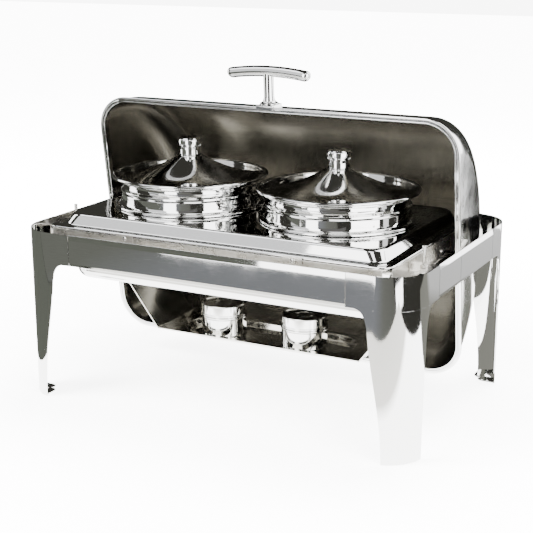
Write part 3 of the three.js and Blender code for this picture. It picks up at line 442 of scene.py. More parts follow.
def rail_outline(outer, inward, low, high):
    """Section of a rail: sheet with a slightly rolled top and bottom edge; inward is +1 or -1."""
    lean, roll = 0.0009, 0.008
    corners = [
        (outer + inward * lean * 0.6, low, 0.0003),
        (outer, low + roll * 0.5, 0.01),
        (outer, high - roll, 0.012),
        (outer + inward * lean, high, 0.0004),
        (outer + inward * (SHEET + lean * 0.2), high, 0.0004),
        (outer + inward * SHEET, high - roll, 0.008),
        (outer + inward * SHEET, low, 0.0004),
    ]
    return rounded_path(corners, 5)


def make_rails():
    for end, sy in (("front", -1), ("rear", 1)):
        low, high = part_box(f"{end}_rail")
        outline = rail_outline(sy * HALF_Y, -sy, low.z, high.z)
        rail = extruded(f"{end}_band", outline, "x", low.x, high.x, stand_steel)
        finished(rail, "stand", "mirror_steel", f"{end}_rail")
    for side, sx in (("left", -1), ("right", 1)):
        for part in ("front", "rear"):
            low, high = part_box(f"side_rail_{side}_{part}")
            outline = rail_outline(sx * HALF_X, -sx, low.z, high.z)
            rail = extruded(f"side_band_{side}_{part}", outline, "y", low.y, high.y, stand_steel)
            finished(rail, "stand", "mirror_steel", f"side_rail_{side}_{part}")


# ---------------------------------------------------------------- cover
def cover_point(x, depth, rise):
    """A point given across the open cover, behind its rim and up its rim, in the row frame."""
    y, z = RIM_BEHIND_HINGE + depth, rise
    turn, lift = math.cos(OPEN_TILT), math.sin(OPEN_TILT)
    return Vector((x, HINGE.y + y * turn - z * lift, HINGE.z + y * lift + z * turn))


def cover_direction(x, depth, rise):
    return cover_point(x, depth, rise) - cover_point(0, 0, 0)


def shell_rows(inset, across=72):
    """Loops across the shell, from the middle of one end wall over the barrel to the other."""
    half, radius = SHELL_HALF_LENGTH - inset, SHELL_CORNER - inset
    rise, depth = SHELL_HALF_HEIGHT - inset, SHELL_DEPTH - inset
    stations = [(half, radius, k / 7) for k in range(1, 8)]
    for i in range(1, 17):
        angle = math.radians(90 * (1 - i / 16))
        stations.append((half - radius + radius * math.sin(angle), radius * (1 - math.cos(angle)), 1))
    body = half - radius
    middle = [(body * (1 - 2 * i / 20), 0, 1) for i in range(1, 20)]
    whole = stations + middle + [(-x, drop, share) for x, drop, share in stations[::-1]]
    rows = []
    for x, drop, share in whole:
        row = []
        for i in range(across + 1):
            turn = math.pi * i / across - math.pi / 2
            d = (depth - drop) * share * math.cos(turn)
            s = (rise - drop) * share * math.sin(turn)
            row.append((x * (1 - d * math.tan(SHELL_DRAFT) / SHELL_HALF_LENGTH), max(d, 0.0), s))
        rows.append(row)
    return rows


def make_shell():
    """The outer skin, the inner skin and the edge between them; the inside is brushed, and its steel is
    painted darker as painted shade.
    """
    outer, inner = shell_rows(0), shell_rows(SHEET)
    rows, columns = len(outer), len(outer[0])
    points = [cover_point(*p) for row in outer + inner for p in row]
    skin = grid_faces(rows, columns)
    start = rows * columns
    faces = list(skin) + [tuple(start + i for i in face[::-1]) for face in skin]
    for column in (0, columns - 1):
        for i in range(rows - 1):
            a, b = i * columns + column, (i + 1) * columns + column
            faces.append((a, b, b + start, a + start))
    for row in (0, rows - 1):
        faces.append((row * columns, row * columns + columns - 1,
                      start + row * columns + columns - 1, start + row * columns))
        caps = [row * columns + j for j in range(columns)]
        faces.append(tuple(caps))
        faces.append(tuple(start + i for i in caps[::-1]))
    shell = mesh_piece("cover_shell_skin", points, faces, cover_out, sharp=50)
    shell.data.materials.append(cover_inside_painted_shade)
    middle = cover_point(0, 0.04, 0)
    for face in shell.data.polygons:
        toward = middle - face.center
        toward.x *= 0.35
        face.material_index = 1 if face.normal.dot(toward) > 0 else 0
    return finished(shell, "cover", "cover_steel", "cover_shell")


def rim_path(steps=16, edge=24):
    """Stations round the rim: a point, its outward direction and the direction into the cover."""
    def corner_point(sx, ss, degrees):
        angle = math.radians(degrees)
        return (sx * (SHELL_HALF_LENGTH - SHELL_CORNER) + SHELL_CORNER * math.cos(angle),
                ss * (SHELL_HALF_HEIGHT - SHELL_CORNER) + SHELL_CORNER * math.sin(angle),
                math.cos(angle), math.sin(angle))

    stations = []
    for index, (sx, ss, start) in enumerate(CORNERS):
        stations += [corner_point(sx, ss, start + 90 * k / steps) for k in range(steps + 1)]
        x0, s0, ox, os_ = stations[-1]
        x1, s1 = corner_point(*CORNERS[(index + 1) % 4])[:2]
        stations += [(x0 + (x1 - x0) * k / edge, s0 + (s1 - s0) * k / edge, ox, os_) for k in range(1, edge)]
    inwards = cover_direction(0, 1, 0)
    return [(cover_point(x, 0, s), cover_direction(ox, 0, os_), inwards) for x, s, ox, os_ in stations]


def make_rim():
    """A rolled bead outside the rim, and the flat hem that is folded inside it."""
    bead = rounded_path([(0.0002, 0.0002, 0.0008), (0.0038, 0.0002, 0.0019), (0.0038, 0.0038, 0.0019),
                         (0.0002, 0.0038, 0.0005)], 6)
    rim = swept("cover_rim_bead", rim_path(), bead, rim_steel)
    finished(rim, "cover", "cover_steel")
    hem = rounded_path([(-0.0022, 0.0000, 0.0006), (-0.0022, 0.0100, 0.0006), (-0.0042, 0.0108, 0.0006),
                        (-0.0048, 0.0010, 0.0012), (-0.0040, 0.0000, 0.0006)], 4)
    band = swept("cover_rim_hem", rim_path(), hem, rim_steel)
    finished(band, "cover", "cover_steel")


def make_handle():
    """A saddle hooked over the rim, a trumpet-footed post square to the barrel, and a bowed grip."""
    half_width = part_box("handle_plate")[1].x
    rise = SHELL_HALF_HEIGHT
    top = rise + 0.004 + GAP + 0.002
    slope = math.tan(HANDLE_LEAN)
    back, drop = 0.030, 0.0026
    corners = [
        (-0.0023, rise - 0.001, 0.0006), (-GAP, rise - 0.001, 0.0003), (-GAP, rise + 0.0043, 0.0006),
        (0.0043, rise + 0.0043, 0.0006), (0.0046, rise + 0.0005, 0.0006), (back, rise - drop + GAP, 0.0003),
        (back, top - back * slope - 0.0006, 0.0012), (0.006, top - 0.006 * slope, 0.01), (0.0, top, 0.004),
        (-0.0023, top, 0.0018),
    ]
    outline = rounded_path(corners, 5)
    loops = [[cover_point(x, d, s) for d, s in outline] for x in (-half_width, half_width)]
    plate = softened(skinned("handle_saddle", loops, handle_steel), 0.0006, 3, 50)
    finished(plate, "cover", "cover_steel", "handle_plate")

    foot_rise = top - HANDLE_DEPTH * slope

    def at(x, across, up):
        """A point in the handle's own frame, whose upright axis leans back with the barrel."""
        return cover_point(x, HANDLE_DEPTH + up * math.sin(HANDLE_LEAN) + across * math.cos(HANDLE_LEAN),
                           foot_rise + up * math.cos(HANDLE_LEAN) - across * math.sin(HANDLE_LEAN))

    grip_up, half, radius, bow = 0.049, 0.0608, 0.0082, 0.0045
    rings = 64
    path = [(-half + 2 * half * i / rings, radius) for i in range(rings + 1)]
    cap = [(half + radius * math.sin(math.radians(a)), radius * math.cos(math.radians(a)))
           for a in (15, 30, 45, 60, 72, 82, 88)]
    path = [(-x, r) for x, r in cap[::-1]] + path + cap
    loops = []
    for x, r in path:
        inner = max(-half, min(half, x))
        turn = math.atan(-2 * bow * inner / half ** 2)
        loops.append([at(x - v * math.sin(turn), u,
                         grip_up - bow * (inner / half) ** 2 + v * math.cos(turn)) for u, v in circle(r, 40)])
    bar = skinned("handle_grip", loops, handle_steel)
    finished(bar, "cover", "mirror_steel", "handle_bar")

    foot, shank, flare = 0.0139, 0.0077, 0.014
    profile = [(0, 0), (foot - 0.0006, 0), (foot, 0.0006), (foot, 0.0013), (foot - 0.0007, 0.0020)]
    for i in range(1, 19):
        t = i / 18 * math.pi / 2
        profile.append((shank + (foot - 0.0010 - shank) * (1 - math.sin(t)) ** 1.1,
                        0.0021 + (flare - 0.0021) * (1 - math.cos(t))))
    sides = 64
    points = [at(u, v, GAP + h) for r, h in profile for u, v in circle(r, sides)]
    for r in (shank, shank * 0.66, shank * 0.33, 0):
        points += [at(u, v, grip_up - math.sqrt((radius + 0.0001) ** 2 - v * v)) for u, v in circle(r, sides)]
    faces = grid_faces(len(profile) + 4, sides, wrap_columns=True)
    post = mesh_piece("handle_stem", points, faces, handle_steel)
    finished(post, "cover", "mirror_steel", "handle_post")


# ---------------------------------------------------------------- pan and plate
def make_pan():
    corner, draft, curve, flange = 0.044, 0.012, 0.016, 0.009
    half_x, half_y = (pan_high.x - pan_low.x) / 2 - flange, (pan_high.y - pan_low.y) / 2 - flange
    floor_z, flange_z = pan_low.z, pan_high.z - SHEET
    rows = []
    for share in (0.35, 0.7, 0.9, 0.98):
        rows.append((draft + curve + (half_y - draft - curve) * (1 - share), floor_z))
    for i in range(13):
        angle = math.radians(90 * i / 12)
        rows.append((draft + curve * (1 - math.sin(angle)), floor_z + curve * (1 - math.cos(angle))))
    rows += [(draft * 0.5, (floor_z + curve + flange_z) / 2), (0.0012, flange_z - 0.003),
             (0.0002, flange_z - 0.0008), (-0.0014, flange_z),
             (-flange + 0.0008, flange_z), (-flange, flange_z + 0.0006),
             (-flange + 0.0006, flange_z + SHEET), (-0.0004, flange_z + SHEET), (SHEET + 0.0008, flange_z),
             (SHEET + 0.0016, flange_z - 0.003)]
    for i in range(12, -1, -1):
        angle = math.radians(90 * i / 12)
        rows.append((draft + SHEET + (curve - SHEET) * (1 - math.sin(angle)),
                     floor_z + SHEET + (curve - SHEET) * (1 - math.cos(angle))))
    for share in (0.98, 0.9, 0.7, 0.35):
        rows.append((draft + curve + (half_y - draft - curve) * (1 - share), floor_z + SHEET))
    loops = [rounded_loop(half_x - inset, half_y - inset, max(corner - min(inset, draft + curve), 0.004), z,
                          MIDDLE_Y) for inset, z in rows]
    pan = skinned("water_pan_skin", loops, pan_steel)
    finished(pan, "pan", "mirror_steel", "water_pan")


def make_plate():
    """Flange with a raised line, rounded riser and flat top; the pots' holes are cut after skinning."""
    half_x, half_y = (plate_high.x - plate_low.x) / 2, (plate_high.y - plate_low.y) / 2
    flange_z, top_z = plate_high.z - 0.017, plate_high.z
    section = rounded_path([
        (0.100, top_z, 0), (0.022, top_z, 0.006), (0.0145, flange_z, 0.005), (0.0085, flange_z, 0.0006),
        (0.0072, flange_z + 0.0009, 0.0008), (0.0059, flange_z, 0.0006), (0.0, flange_z, 0.0016),
        (0.0, flange_z - 0.0026, 0.0004), (0.0013, flange_z - 0.0026, 0.0004),
        (0.0013, flange_z - SHEET, 0.0006),
        (0.0160, flange_z - SHEET, 0.005), (0.0235, top_z - SHEET, 0.006), (0.100, top_z - SHEET, 0),
    ], 6, closed=False)
    loops = []
    for inset, z in section:
        radius = 0.016 + min(max(inset - 0.006, 0.0), 0.016) * 0.75
        radius = 0.016 - inset * 0.4 if inset < 0.006 else radius - 0.0024
        loops.append(rounded_loop(half_x - inset, half_y - inset, radius, z, MIDDLE_Y, steps=12))
    plate = skinned("adaptor_plate_skin", loops, plate_steel, sharp=40)
    cutters = []
    for name in ("pot_left", "pot_right"):
        above, below = top_z + 0.01, top_z - 0.02
        points, faces = turned_points([(0, above), (POT_HOLE, above), (POT_HOLE, below), (0, below)],
                                      centre_of(name), 96, False)
        cutters.append(mesh_piece(f"hole_{name}", points, faces, plate_steel, weighted=False))
    for cutter in cutters:
        hole = plate.modifiers.new("hole", "BOOLEAN")
        hole.operation = "DIFFERENCE"
        hole.solver = "EXACT"
        hole.object = cutter
        plate.modifiers.move(len(plate.modifiers) - 1, 0)
    baked = as_plain(plate)
    for cutter in cutters:
        bpy.data.objects.remove(cutter)
    finished(baked, "plate", "mirror_steel", "adaptor_plate")


def as_plain(piece):
    """The piece with its modifiers made into its mesh."""
    graph = bpy.context.evaluated_depsgraph_get()
    mesh = bpy.data.meshes.new_from_object(piece.evaluated_get(graph))
    piece.modifiers.clear()
    piece.data = mesh
    return piece


# ---------------------------------------------------------------- pots
def centre_of(name):
    low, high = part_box(name)
    return (low.x + high.x) / 2, (low.y + high.y) / 2


def make_pot(side):
    low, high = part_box(f"pot_{side}")
    centre = centre_of(f"pot_{side}")
    steel_here = steel(f"pot_spun_steel_{side}", 0.035, 0.04, (1, 1, 1), grain=500.0,
                       grain_bump=0.03, wave_bump=0.02, around=centre)
    seat, rim, bottom = plate_high.z + GAP, high.z, low.z
    lid_low, lid_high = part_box(f"pot_lid_{side}")
    lid_radius = (lid_high.x - lid_low.x) / 2
    ledge = lid_low.z - GAP
    corners = [
        (0, bottom, 0), (0.103, bottom, 0.014), (0.103, seat, 0.0008), (0.1150, seat, 0.001),
        (0.1174, seat + 0.0008, 0.0018), (0.1160, seat + 0.0040, 0.0018), (0.1120, seat + 0.0032, 0.002),
        (0.1085, seat + 0.0052, 0.002), (0.1068, seat + 0.0085, 0.004), (0.1066, seat + 0.0200, 0.003),
        (0.1080, seat + 0.0232, 0.0012), (0.1080, seat + 0.0258, 0.0012), (0.1040, seat + 0.0285, 0.004),
        (0.1018, seat + 0.0330, 0.004), (0.1018, rim - 0.0100, 0.004), (0.1060, rim - 0.0062, 0.004),
        (0.1170, rim - 0.0052, 0.002), (0.1209, rim - 0.0046, 0.0015), (0.1211, rim - 0.0012, 0.002),
        (0.1185, rim, 0.0020), (lid_radius + 0.0024, rim, 0.0014), (lid_radius + 0.0006, rim - 0.0024, 0.002),
        (lid_radius + 0.0005, ledge - 0.0004, 0.0012), (lid_radius - 0.005, ledge - 0.0012, 0.002),
        (0.1003, rim - 0.013, 0.004), (0.1002, seat + 0.0320, 0.004), (0.1050, seat + 0.0240, 0.003),
        (0.1052, seat + 0.008, 0.004), (0.1015, seat, 0.004), (0.1015, bottom + SHEET, 0.0125),
        (0, bottom + SHEET, 0),
    ]
    pot = turned(f"soup_pot_{side}", corners, centre, steel_here, sides=144, steps=5, sharp=60)
    finished(pot, f"soup_pot_{side}", "mirror_steel", f"pot_{side}")


LID_THICK = 0.0014


def make_lid(side):
    low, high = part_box(f"pot_lid_{side}")
    centre = centre_of(f"pot_lid_{side}")
    steel_here = steel(f"lid_spun_steel_{side}", 0.03, 0.05, (1, 1, 1), grain=420.0,
                       grain_bump=0.05, wave_bump=0.02, around=centre)
    radius, edge, neck = (high.x - low.x) / 2, low.z + 0.0018, high.z
    steps = 40
    top = []
    for i in range(steps + 1):
        t = i / steps
        top.append((0.018 + (radius - 0.0035 - 0.018) * t, edge + (neck - edge) * (1 - t) ** 1.75))
    hole = 0.0029
    outline = [(hole, neck)] + top
    outline += [(radius - 0.0026, edge - 0.0001), (radius - 0.0010, edge + 0.0004),
                (radius - 0.0002, edge - 0.0001), (radius, edge - 0.0010),
                (radius - 0.0006, edge - 0.0016), (radius - 0.003, edge - 0.0016)]
    outline += [(r, z - LID_THICK) for r, z in top[::-1]]
    outline += [(hole, neck - LID_THICK)]
    points, faces = turned_points(outline, centre, 144, True)
    lid = mesh_piece(f"pot_lid_spun_{side}", points, faces, steel_here, sharp=50)
    finished(lid, f"lid_{side}", "mirror_steel", f"pot_lid_{side}")

    knob_low, knob_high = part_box(f"lid_knob_{side}")
    knob_radius, base, top_z = (knob_high.x - knob_low.x) / 2, knob_low.z, knob_high.z
    height = top_z - base
    corners = [
        (0, base + 0.012, 0), (hole, base + 0.012, 0), (hole, base, 0.0002), (0.0148, base, 0.0006),
        (0.0158, base + 0.0010, 0.0010), (0.0156, base + height * 0.30, 0.012),
        (0.0160, base + height * 0.50, 0.006),
        (knob_radius - 0.0004, base + height * 0.60, 0.004), (knob_radius, base + height * 0.86, 0.004),
        (knob_radius - 0.0035, top_z - 0.0004, 0.004), (0.009, top_z, 0.03), (0, top_z, 0),
    ]
    knob_steel = steel(f"knob_turned_steel_{side}", 0.02, 0.03, (1, 1, 1), grain=600.0,
                       grain_bump=0.03, wave_bump=0.0, around=centre)
    knob = turned(f"lid_knob_turned_{side}", corners, centre, knob_steel, sides=96, steps=9, sharp=50)
    finished(knob, f"lid_{side}", "mirror_steel", f"lid_knob_{side}")


# ---------------------------------------------------------------- fuel shelf and cans
WELL_HALF_X, WELL_HALF_Y, WELL_DEPTH = 0.145, 0.044, 0.0085
SHELF_FLOOR_HALF, SHELF_LEAN = 0.175, 0.758


def make_shelf():
    """A pressed strip: a floor with a round-ended well, and ends that lean out, then stand upright."""
    floor_z = 0.080
    front, rear, top = shelf_low.y, shelf_high.y, shelf_high.z
    centre_y = (front + rear) / 2
    arm_x = shelf_high.x - SHEET / 2
    straight = WELL_HALF_X - WELL_HALF_Y
    around = []
    for sx, start in ((1, -90), (-1, 90)):
        around += [(sx * straight * k / 8, -sx * 1.0, "edge") for k in range(0, 8)] if sx > 0 else []
        around += [(start + 180 * k / 24, sx, "end") for k in range(25)]
        if sx > 0:
            around += [(straight - 2 * straight * k / 16, 1.0, "edge") for k in range(1, 16)]
        else:
            around += [(-straight + straight * k / 8, -1.0, "edge") for k in range(1, 8)]

    def well_point(item, grow):
        kind = item[2]
        reach = WELL_HALF_Y + grow
        if kind == "edge":
            return Vector((item[0], centre_y + item[1] * reach))
        angle = math.radians(item[0])
        return Vector((item[1] * straight + reach * math.cos(angle), centre_y + reach * math.sin(angle)))

    corners = [Vector((sx * SHELF_FLOOR_HALF, y)) for sx in (1, -1) for y in (front, rear)]
    outer = []
    for item in around:
        start = well_point(item, 0.002)
        ahead = (well_point(item, 0.003) - start).normalized()
        reach = min(
            (math.copysign(SHELF_FLOOR_HALF, ahead.x) - start.x) / ahead.x if abs(ahead.x) > 1e-6 else 9,
            ((rear if ahead.y > 0 else front) - start.y) / ahead.y if abs(ahead.y) > 1e-6 else 9,
        )
        outer.append(start + ahead * reach)
    for corner in corners:
        nearest = min(range(len(outer)), key=lambda i: (outer[i] - corner).length)
        outer[nearest] = corner
    rows = [[Vector((p.x, p.y, floor_z)) for p in outer]]
    well_z = floor_z - WELL_DEPTH
    section = rounded_path([(0.010, floor_z, 0), (0.0005, floor_z, 0.0022), (-0.0055, well_z, 0.0035),
                            (-0.012, well_z, 0)], 5, closed=False)
    for grow, z in section:
        if grow <= 0.004:
            rows.append([Vector((*well_point(item, grow), z)) for item in around])
    for grow in (-0.026, -0.040):
        rows.append([Vector((*well_point(item, grow), well_z)) for item in around])
    count = len(around)
    points = [p for row in rows for p in row]
    faces = grid_faces(len(rows), count, wrap_columns=True)
    last = (len(rows) - 1) * count
    faces.append(tuple(range(last, last + count)))
    # the ends: each floor edge's points are carried out and up
    lean_z = floor_z + (arm_x - SHELF_FLOOR_HALF) / SHELF_LEAN
    for sx in (1, -1):
        edge = sorted((i for i, p in enumerate(outer) if abs(p.x - sx * SHELF_FLOOR_HALF) < 1e-6),
                      key=lambda i: outer[i].y)
        line = rounded_path([(SHELF_FLOOR_HALF - 0.004, floor_z, 0), (SHELF_FLOOR_HALF, floor_z, 0.0032),
                             (arm_x, lean_z, 0.012), (arm_x, top, 0)], 6, closed=False)[1:]
        previous = edge
        for x, z in line:
            fresh = list(range(len(points), len(points) + len(edge)))
            points += [Vector((sx * x, outer[i].y, z)) for i in edge]
            faces += [(previous[k], previous[k + 1], fresh[k + 1], fresh[k]) for k in range(len(edge) - 1)]
            previous = fresh
    shelf = mesh_piece("fuel_shelf_pressed", points, faces, shelf_steel, sharp=35)
    middle_face = min(shelf.data.polygons, key=lambda f: (f.center - Vector((0, centre_y, floor_z))).length)
    if middle_face.normal.z < 0:
        shelf.data.flip_normals()
    wall = shelf.modifiers.new("sheet", "SOLIDIFY")
    wall.thickness = SHEET
    wall.offset = -1
    shelf.modifiers.move(len(shelf.modifiers) - 1, 0)
    softened(shelf, 0.0005, 2, 50)
    shelf.modifiers.move(0, 1)
    finished(shelf, "stand", "mirror_steel", "fuel_shelf")


def make_can(side):
    low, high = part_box(f"fuel_can_{side}")
    cap_low, cap_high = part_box(f"can_cap_{side}")
    centre = centre_of(f"fuel_can_{side}")
    tin = steel(f"can_tinplate_{side}", 0.05, 0.05, (1, 1, 0.15), grain=300.0, wave_bump=0.03)
    radius = (high.x - low.x) / 2 - 0.0011
    base, lip, seam, top = low.z, high.z, cap_low.z, cap_high.z
    body = turned(f"fuel_can_drawn_{side}", [
        (0, base + 0.0012, 0), (radius - 0.004, base + 0.0012, 0.001), (radius - 0.0030, base, 0.0008),
        (radius - 0.0010, base, 0.0010), (radius, base + 0.0020, 0.0012), (radius, seam - 0.0040, 0.001),
        (radius + 0.0010, seam - 0.0028, 0.0009), (radius + 0.0010, seam - 0.0012, 0.0009),
        (radius, seam - GAP, 0.0003),
        (radius - 0.0027, seam - GAP, 0.0003), (radius - 0.0027, lip, 0.0003), (radius - 0.0038, lip, 0.0003),
        (radius - 0.0038, base + 0.0024, 0.002), (0, base + 0.0024, 0),
    ], centre, tin, sides=96, steps=4, sharp=50)
    finished(body, f"can_{side}", "mirror_steel", f"fuel_can_{side}")
    cap = turned(f"can_cap_pressed_{side}", [
        (0, top - 0.0018, 0), (0.012, top - 0.0018, 0.0005), (0.0128, top - 0.0013, 0.0005),
        (0.0139, top - 0.0018, 0.0005), (radius - 0.0055, top - 0.0018, 0.0012),
        (radius - 0.0035, top - 0.0002, 0.0009), (radius - 0.0018, top - 0.0001, 0.0009),
        (radius - 0.0001, top - 0.0014, 0.0009), (radius, seam + 0.0036, 0.001),
        (radius + 0.0010, seam + 0.0026, 0.0009), (radius + 0.0010, seam + 0.0010, 0.0009),
        (radius, seam, 0.0003),
        (radius - 0.0012, seam, 0.0003), (radius - 0.0012, top - 0.0032, 0.001), (0, top - 0.0030, 0),
    ], centre, tin, sides=96, steps=4, sharp=50)
    finished(cap, f"cap_{side}", "mirror_steel", f"can_cap_{side}")


# ---------------------------------------------------------------- small hardware
def screw_head_tree():
    """Geometry Nodes: a domed, cross-slotted screw head on each point of a small cloud of places."""
    tree = bpy.data.node_groups.new("cross_head_screws", "GeometryNodeTree")
    face = tree.interface
    face.new_socket("Geometry", in_out="INPUT", socket_type="NodeSocketGeometry")
    for label, default in (("Head radius", 0.0036), ("Head height", 0.0010), ("Slot width", 0.0011)):
        face.new_socket(label, in_out="INPUT", socket_type="NodeSocketFloat").default_value = default
    face.new_socket("Finish", in_out="INPUT", socket_type="NodeSocketMaterial")
    face.new_socket("Geometry", in_out="OUTPUT", socket_type="NodeSocketGeometry")
    start = node(tree, "NodeGroupInput").outputs
    radius, height = start["Head radius"], start["Head height"]
    dome = node(tree, "GeometryNodeMeshUVSphere", Segments=28, Rings=14, Radius=1.0)
    shape = node(tree, "ShaderNodeCombineXYZ", X=radius, Y=radius, Z=height)
    head = node(tree, "GeometryNodeTransform", Geometry=dome.outputs["Mesh"], Scale=shape.outputs["Vector"])
    carve = node(tree, "GeometryNodeMeshBoolean")
    carve.operation = "DIFFERENCE"
    tree.links.new(head.outputs["Geometry"], carve.inputs["Mesh 1"])
    for along, across in (("X", "Y"), ("Y", "X")):
        reach = node(tree, "ShaderNodeMath")
        reach.operation = "MULTIPLY"
        reach.inputs[1].default_value = 1.1
        tree.links.new(radius, reach.inputs[0])
        size = node(tree, "ShaderNodeCombineXYZ", Z=height,
                    **{along: reach.outputs["Value"], across: start["Slot width"]})
        bar = node(tree, "GeometryNodeMeshCube", Size=size.outputs["Vector"])
        up = node(tree, "ShaderNodeCombineXYZ", Z=height)
        slot = node(tree, "GeometryNodeTransform", Geometry=bar.outputs["Mesh"],
                    Translation=up.outputs["Vector"])
        tree.links.new(slot.outputs["Geometry"], carve.inputs["Mesh 2"])
    facing = node(tree, "GeometryNodeInputNamedAttribute", Name="facing")
    facing.data_type = "FLOAT_VECTOR"
    turn = node(tree, "FunctionNodeAlignRotationToVector", Vector=facing.outputs["Attribute"])
    turn.axis = "Z"
    place = node(tree, "GeometryNodeInstanceOnPoints", Points=start["Geometry"],
                 Instance=carve.outputs["Mesh"], Rotation=turn.outputs["Rotation"])
    real = node(tree, "GeometryNodeRealizeInstances", Geometry=place.outputs["Instances"])
    paint = node(tree, "GeometryNodeSetMaterial", Geometry=real.outputs["Geometry"], Material=start["Finish"])
    node(tree, "NodeGroupOutput", Geometry=paint.outputs["Geometry"])
    return tree


def screws_at(name, tree, places, radius, height, slot_width, material):
    """One plain mesh of screw heads at (point, facing) places."""
    mesh = bpy.data.meshes.new(name)
    mesh.from_pydata([tuple(point) for point, _ in places], [], [])
    facing = mesh.attributes.new("facing", "FLOAT_VECTOR", "POINT")
    facing.data.foreach_set("vector", [c for _, direction in places for c in direction])
    piece = linked(name, mesh)
    modifier = piece.modifiers.new("screws", "NODES")
    modifier.node_group = tree
    values = {"Head radius": radius, "Head height": height, "Slot width": slot_width, "Finish": material}
    for item in tree.interface.items_tree:
        if item.in_out == "INPUT" and item.name in values:
            modifier[item.identifier] = values[item.name]
    as_plain(piece)
    piece.data.shade_smooth()
    piece.data.set_sharp_from_angle(angle=math.radians(40))
    return piece


def make_screws():
    tree = screw_head_tree()
    places = []
    for side in ("left", "right"):
        low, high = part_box(f"front_bracket_screw_{side}")
        places.append((Vector(((low.x + high.x) / 2, high.y, (low.z + high.z) / 2)), Vector((0, -1, 0))))
    heads = screws_at("bracket_screw_heads", tree, places, 0.0036, 0.0010, 0.0010, screw_steel)
    finished(heads, "stand", "bracket_steel", "front_bracket_screw_left", "front_bracket_screw_right")
    rivets = []
    for end, sy in (("front", -1), ("rear", 1)):
        for side in ("left", "right"):
            low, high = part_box(f"splice_{end}_{side}")
            inner = high.y if sy < 0 else low.y
            for x in (low.x + 0.007, high.x - 0.007):
                for z in (low.z + 0.008, high.z - 0.008):
                    rivets.append((Vector((x, inner, z)), Vector((0, -sy, 0))))
    heads = screws_at("splice_screw_heads", tree, rivets, 0.0030, 0.0011, 0.0009, screw_steel)
    finished(heads, "stand", "bracket_steel")


def dress_hardware():
    """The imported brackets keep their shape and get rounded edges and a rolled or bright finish."""
    replaced = set()
    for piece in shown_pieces():
        replaced.update(piece.get("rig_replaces", []))
    for name, piece in frame["nodes"].items():
        if name in replaced:
            continue
        bright = any(word in name for word in ("pin", "screw", "washer", "bolt", "nut"))
        piece.data.materials.clear()
        piece.data.materials.append(screw_steel if bright else bracket_steel)
        weld = piece.modifiers.new("weld", "WELD")
        weld.merge_threshold = 0.00002
        bevel = piece.modifiers.new("edges", "BEVEL")
        bevel.width = 0.0003
        bevel.segments = 2
        bevel.limit_method = "ANGLE"
        bevel.angle_limit = math.radians(42)
        piece.modifiers.new("even shading", "WEIGHTED_NORMAL")


# ---------------------------------------------------------------- studio
def make_camera():
    azimuth, elevation, roll = math.radians(27.6656), math.radians(15.1861), math.radians(-0.094)
    back = Vector((math.sin(azimuth) * math.cos(elevation), -math.cos(azimuth) * math.cos(elevation),
                   math.sin(elevation)))
    data = bpy.data.cameras.new("camera")
    data.sensor_width = 36.0
    data.lens = 82.66
    data.clip_start, data.clip_end = 0.05, 60
    camera = linked("camera", data)
    camera.location = (0.8472, -1.6220, 0.6886)
    camera.rotation_mode = "QUATERNION"
    turn = (-back).to_track_quat("-Z", "Y")
    camera.rotation_quaternion = turn @ Matrix.Rotation(roll, 3, "Z").to_quaternion()
    bpy.context.scene.camera = camera


def glow_material(name, stops, along, start, end, strength):
    """Light that runs through stops of (place 0-1, colour) along X, Y or Z of the card, from start to end."""
    material = bpy.data.materials.new(name)
    material.use_nodes = True
    tree = material.node_tree
    tree.nodes.clear()
    glow = node(tree, "ShaderNodeEmission", Strength=strength)
    if len(stops) == 1:
        glow.inputs["Color"].default_value = (*stops[0][1], 1)
    else:
        place = node(tree, "ShaderNodeTexCoord")
        split = node(tree, "ShaderNodeSeparateXYZ", Vector=place.outputs["Object"])
        ramp = node(tree, "ShaderNodeValToRGB", Fac=mapped(tree, split.outputs[along], start, end))
        for i, (at, color) in enumerate(stops):
            stop = ramp.color_ramp.elements[i] if i < 2 else ramp.color_ramp.elements.new(at)
            stop.position = at
            stop.color = (*color, 1)
        tree.links.new(ramp.outputs["Color"], glow.inputs["Color"])
    node(tree, "ShaderNodeOutputMaterial", Surface=glow.outputs["Emission"])
    return material


def glow_card(name, corners, material):
    """A glowing four-cornered card that only reflections see."""
    mesh = bpy.data.meshes.new(name)
    mesh.from_pydata(corners, [], [(0, 1, 2, 3)])
    mesh.materials.append(material)
    card = linked(name, mesh)
    card.visible_camera = False
    card.visible_diffuse = False
    card.visible_shadow = False


def upright(x0, y0, x1, y1, z0, z1):
    return [(x0, y0, z0), (x1, y1, z0), (x1, y1, z1), (x0, y0, z1)]


def level(x0, y0, x1, y1, z):
    return [(x0, y0, z), (x1, y0, z), (x1, y1, z), (x0, y1, z)]


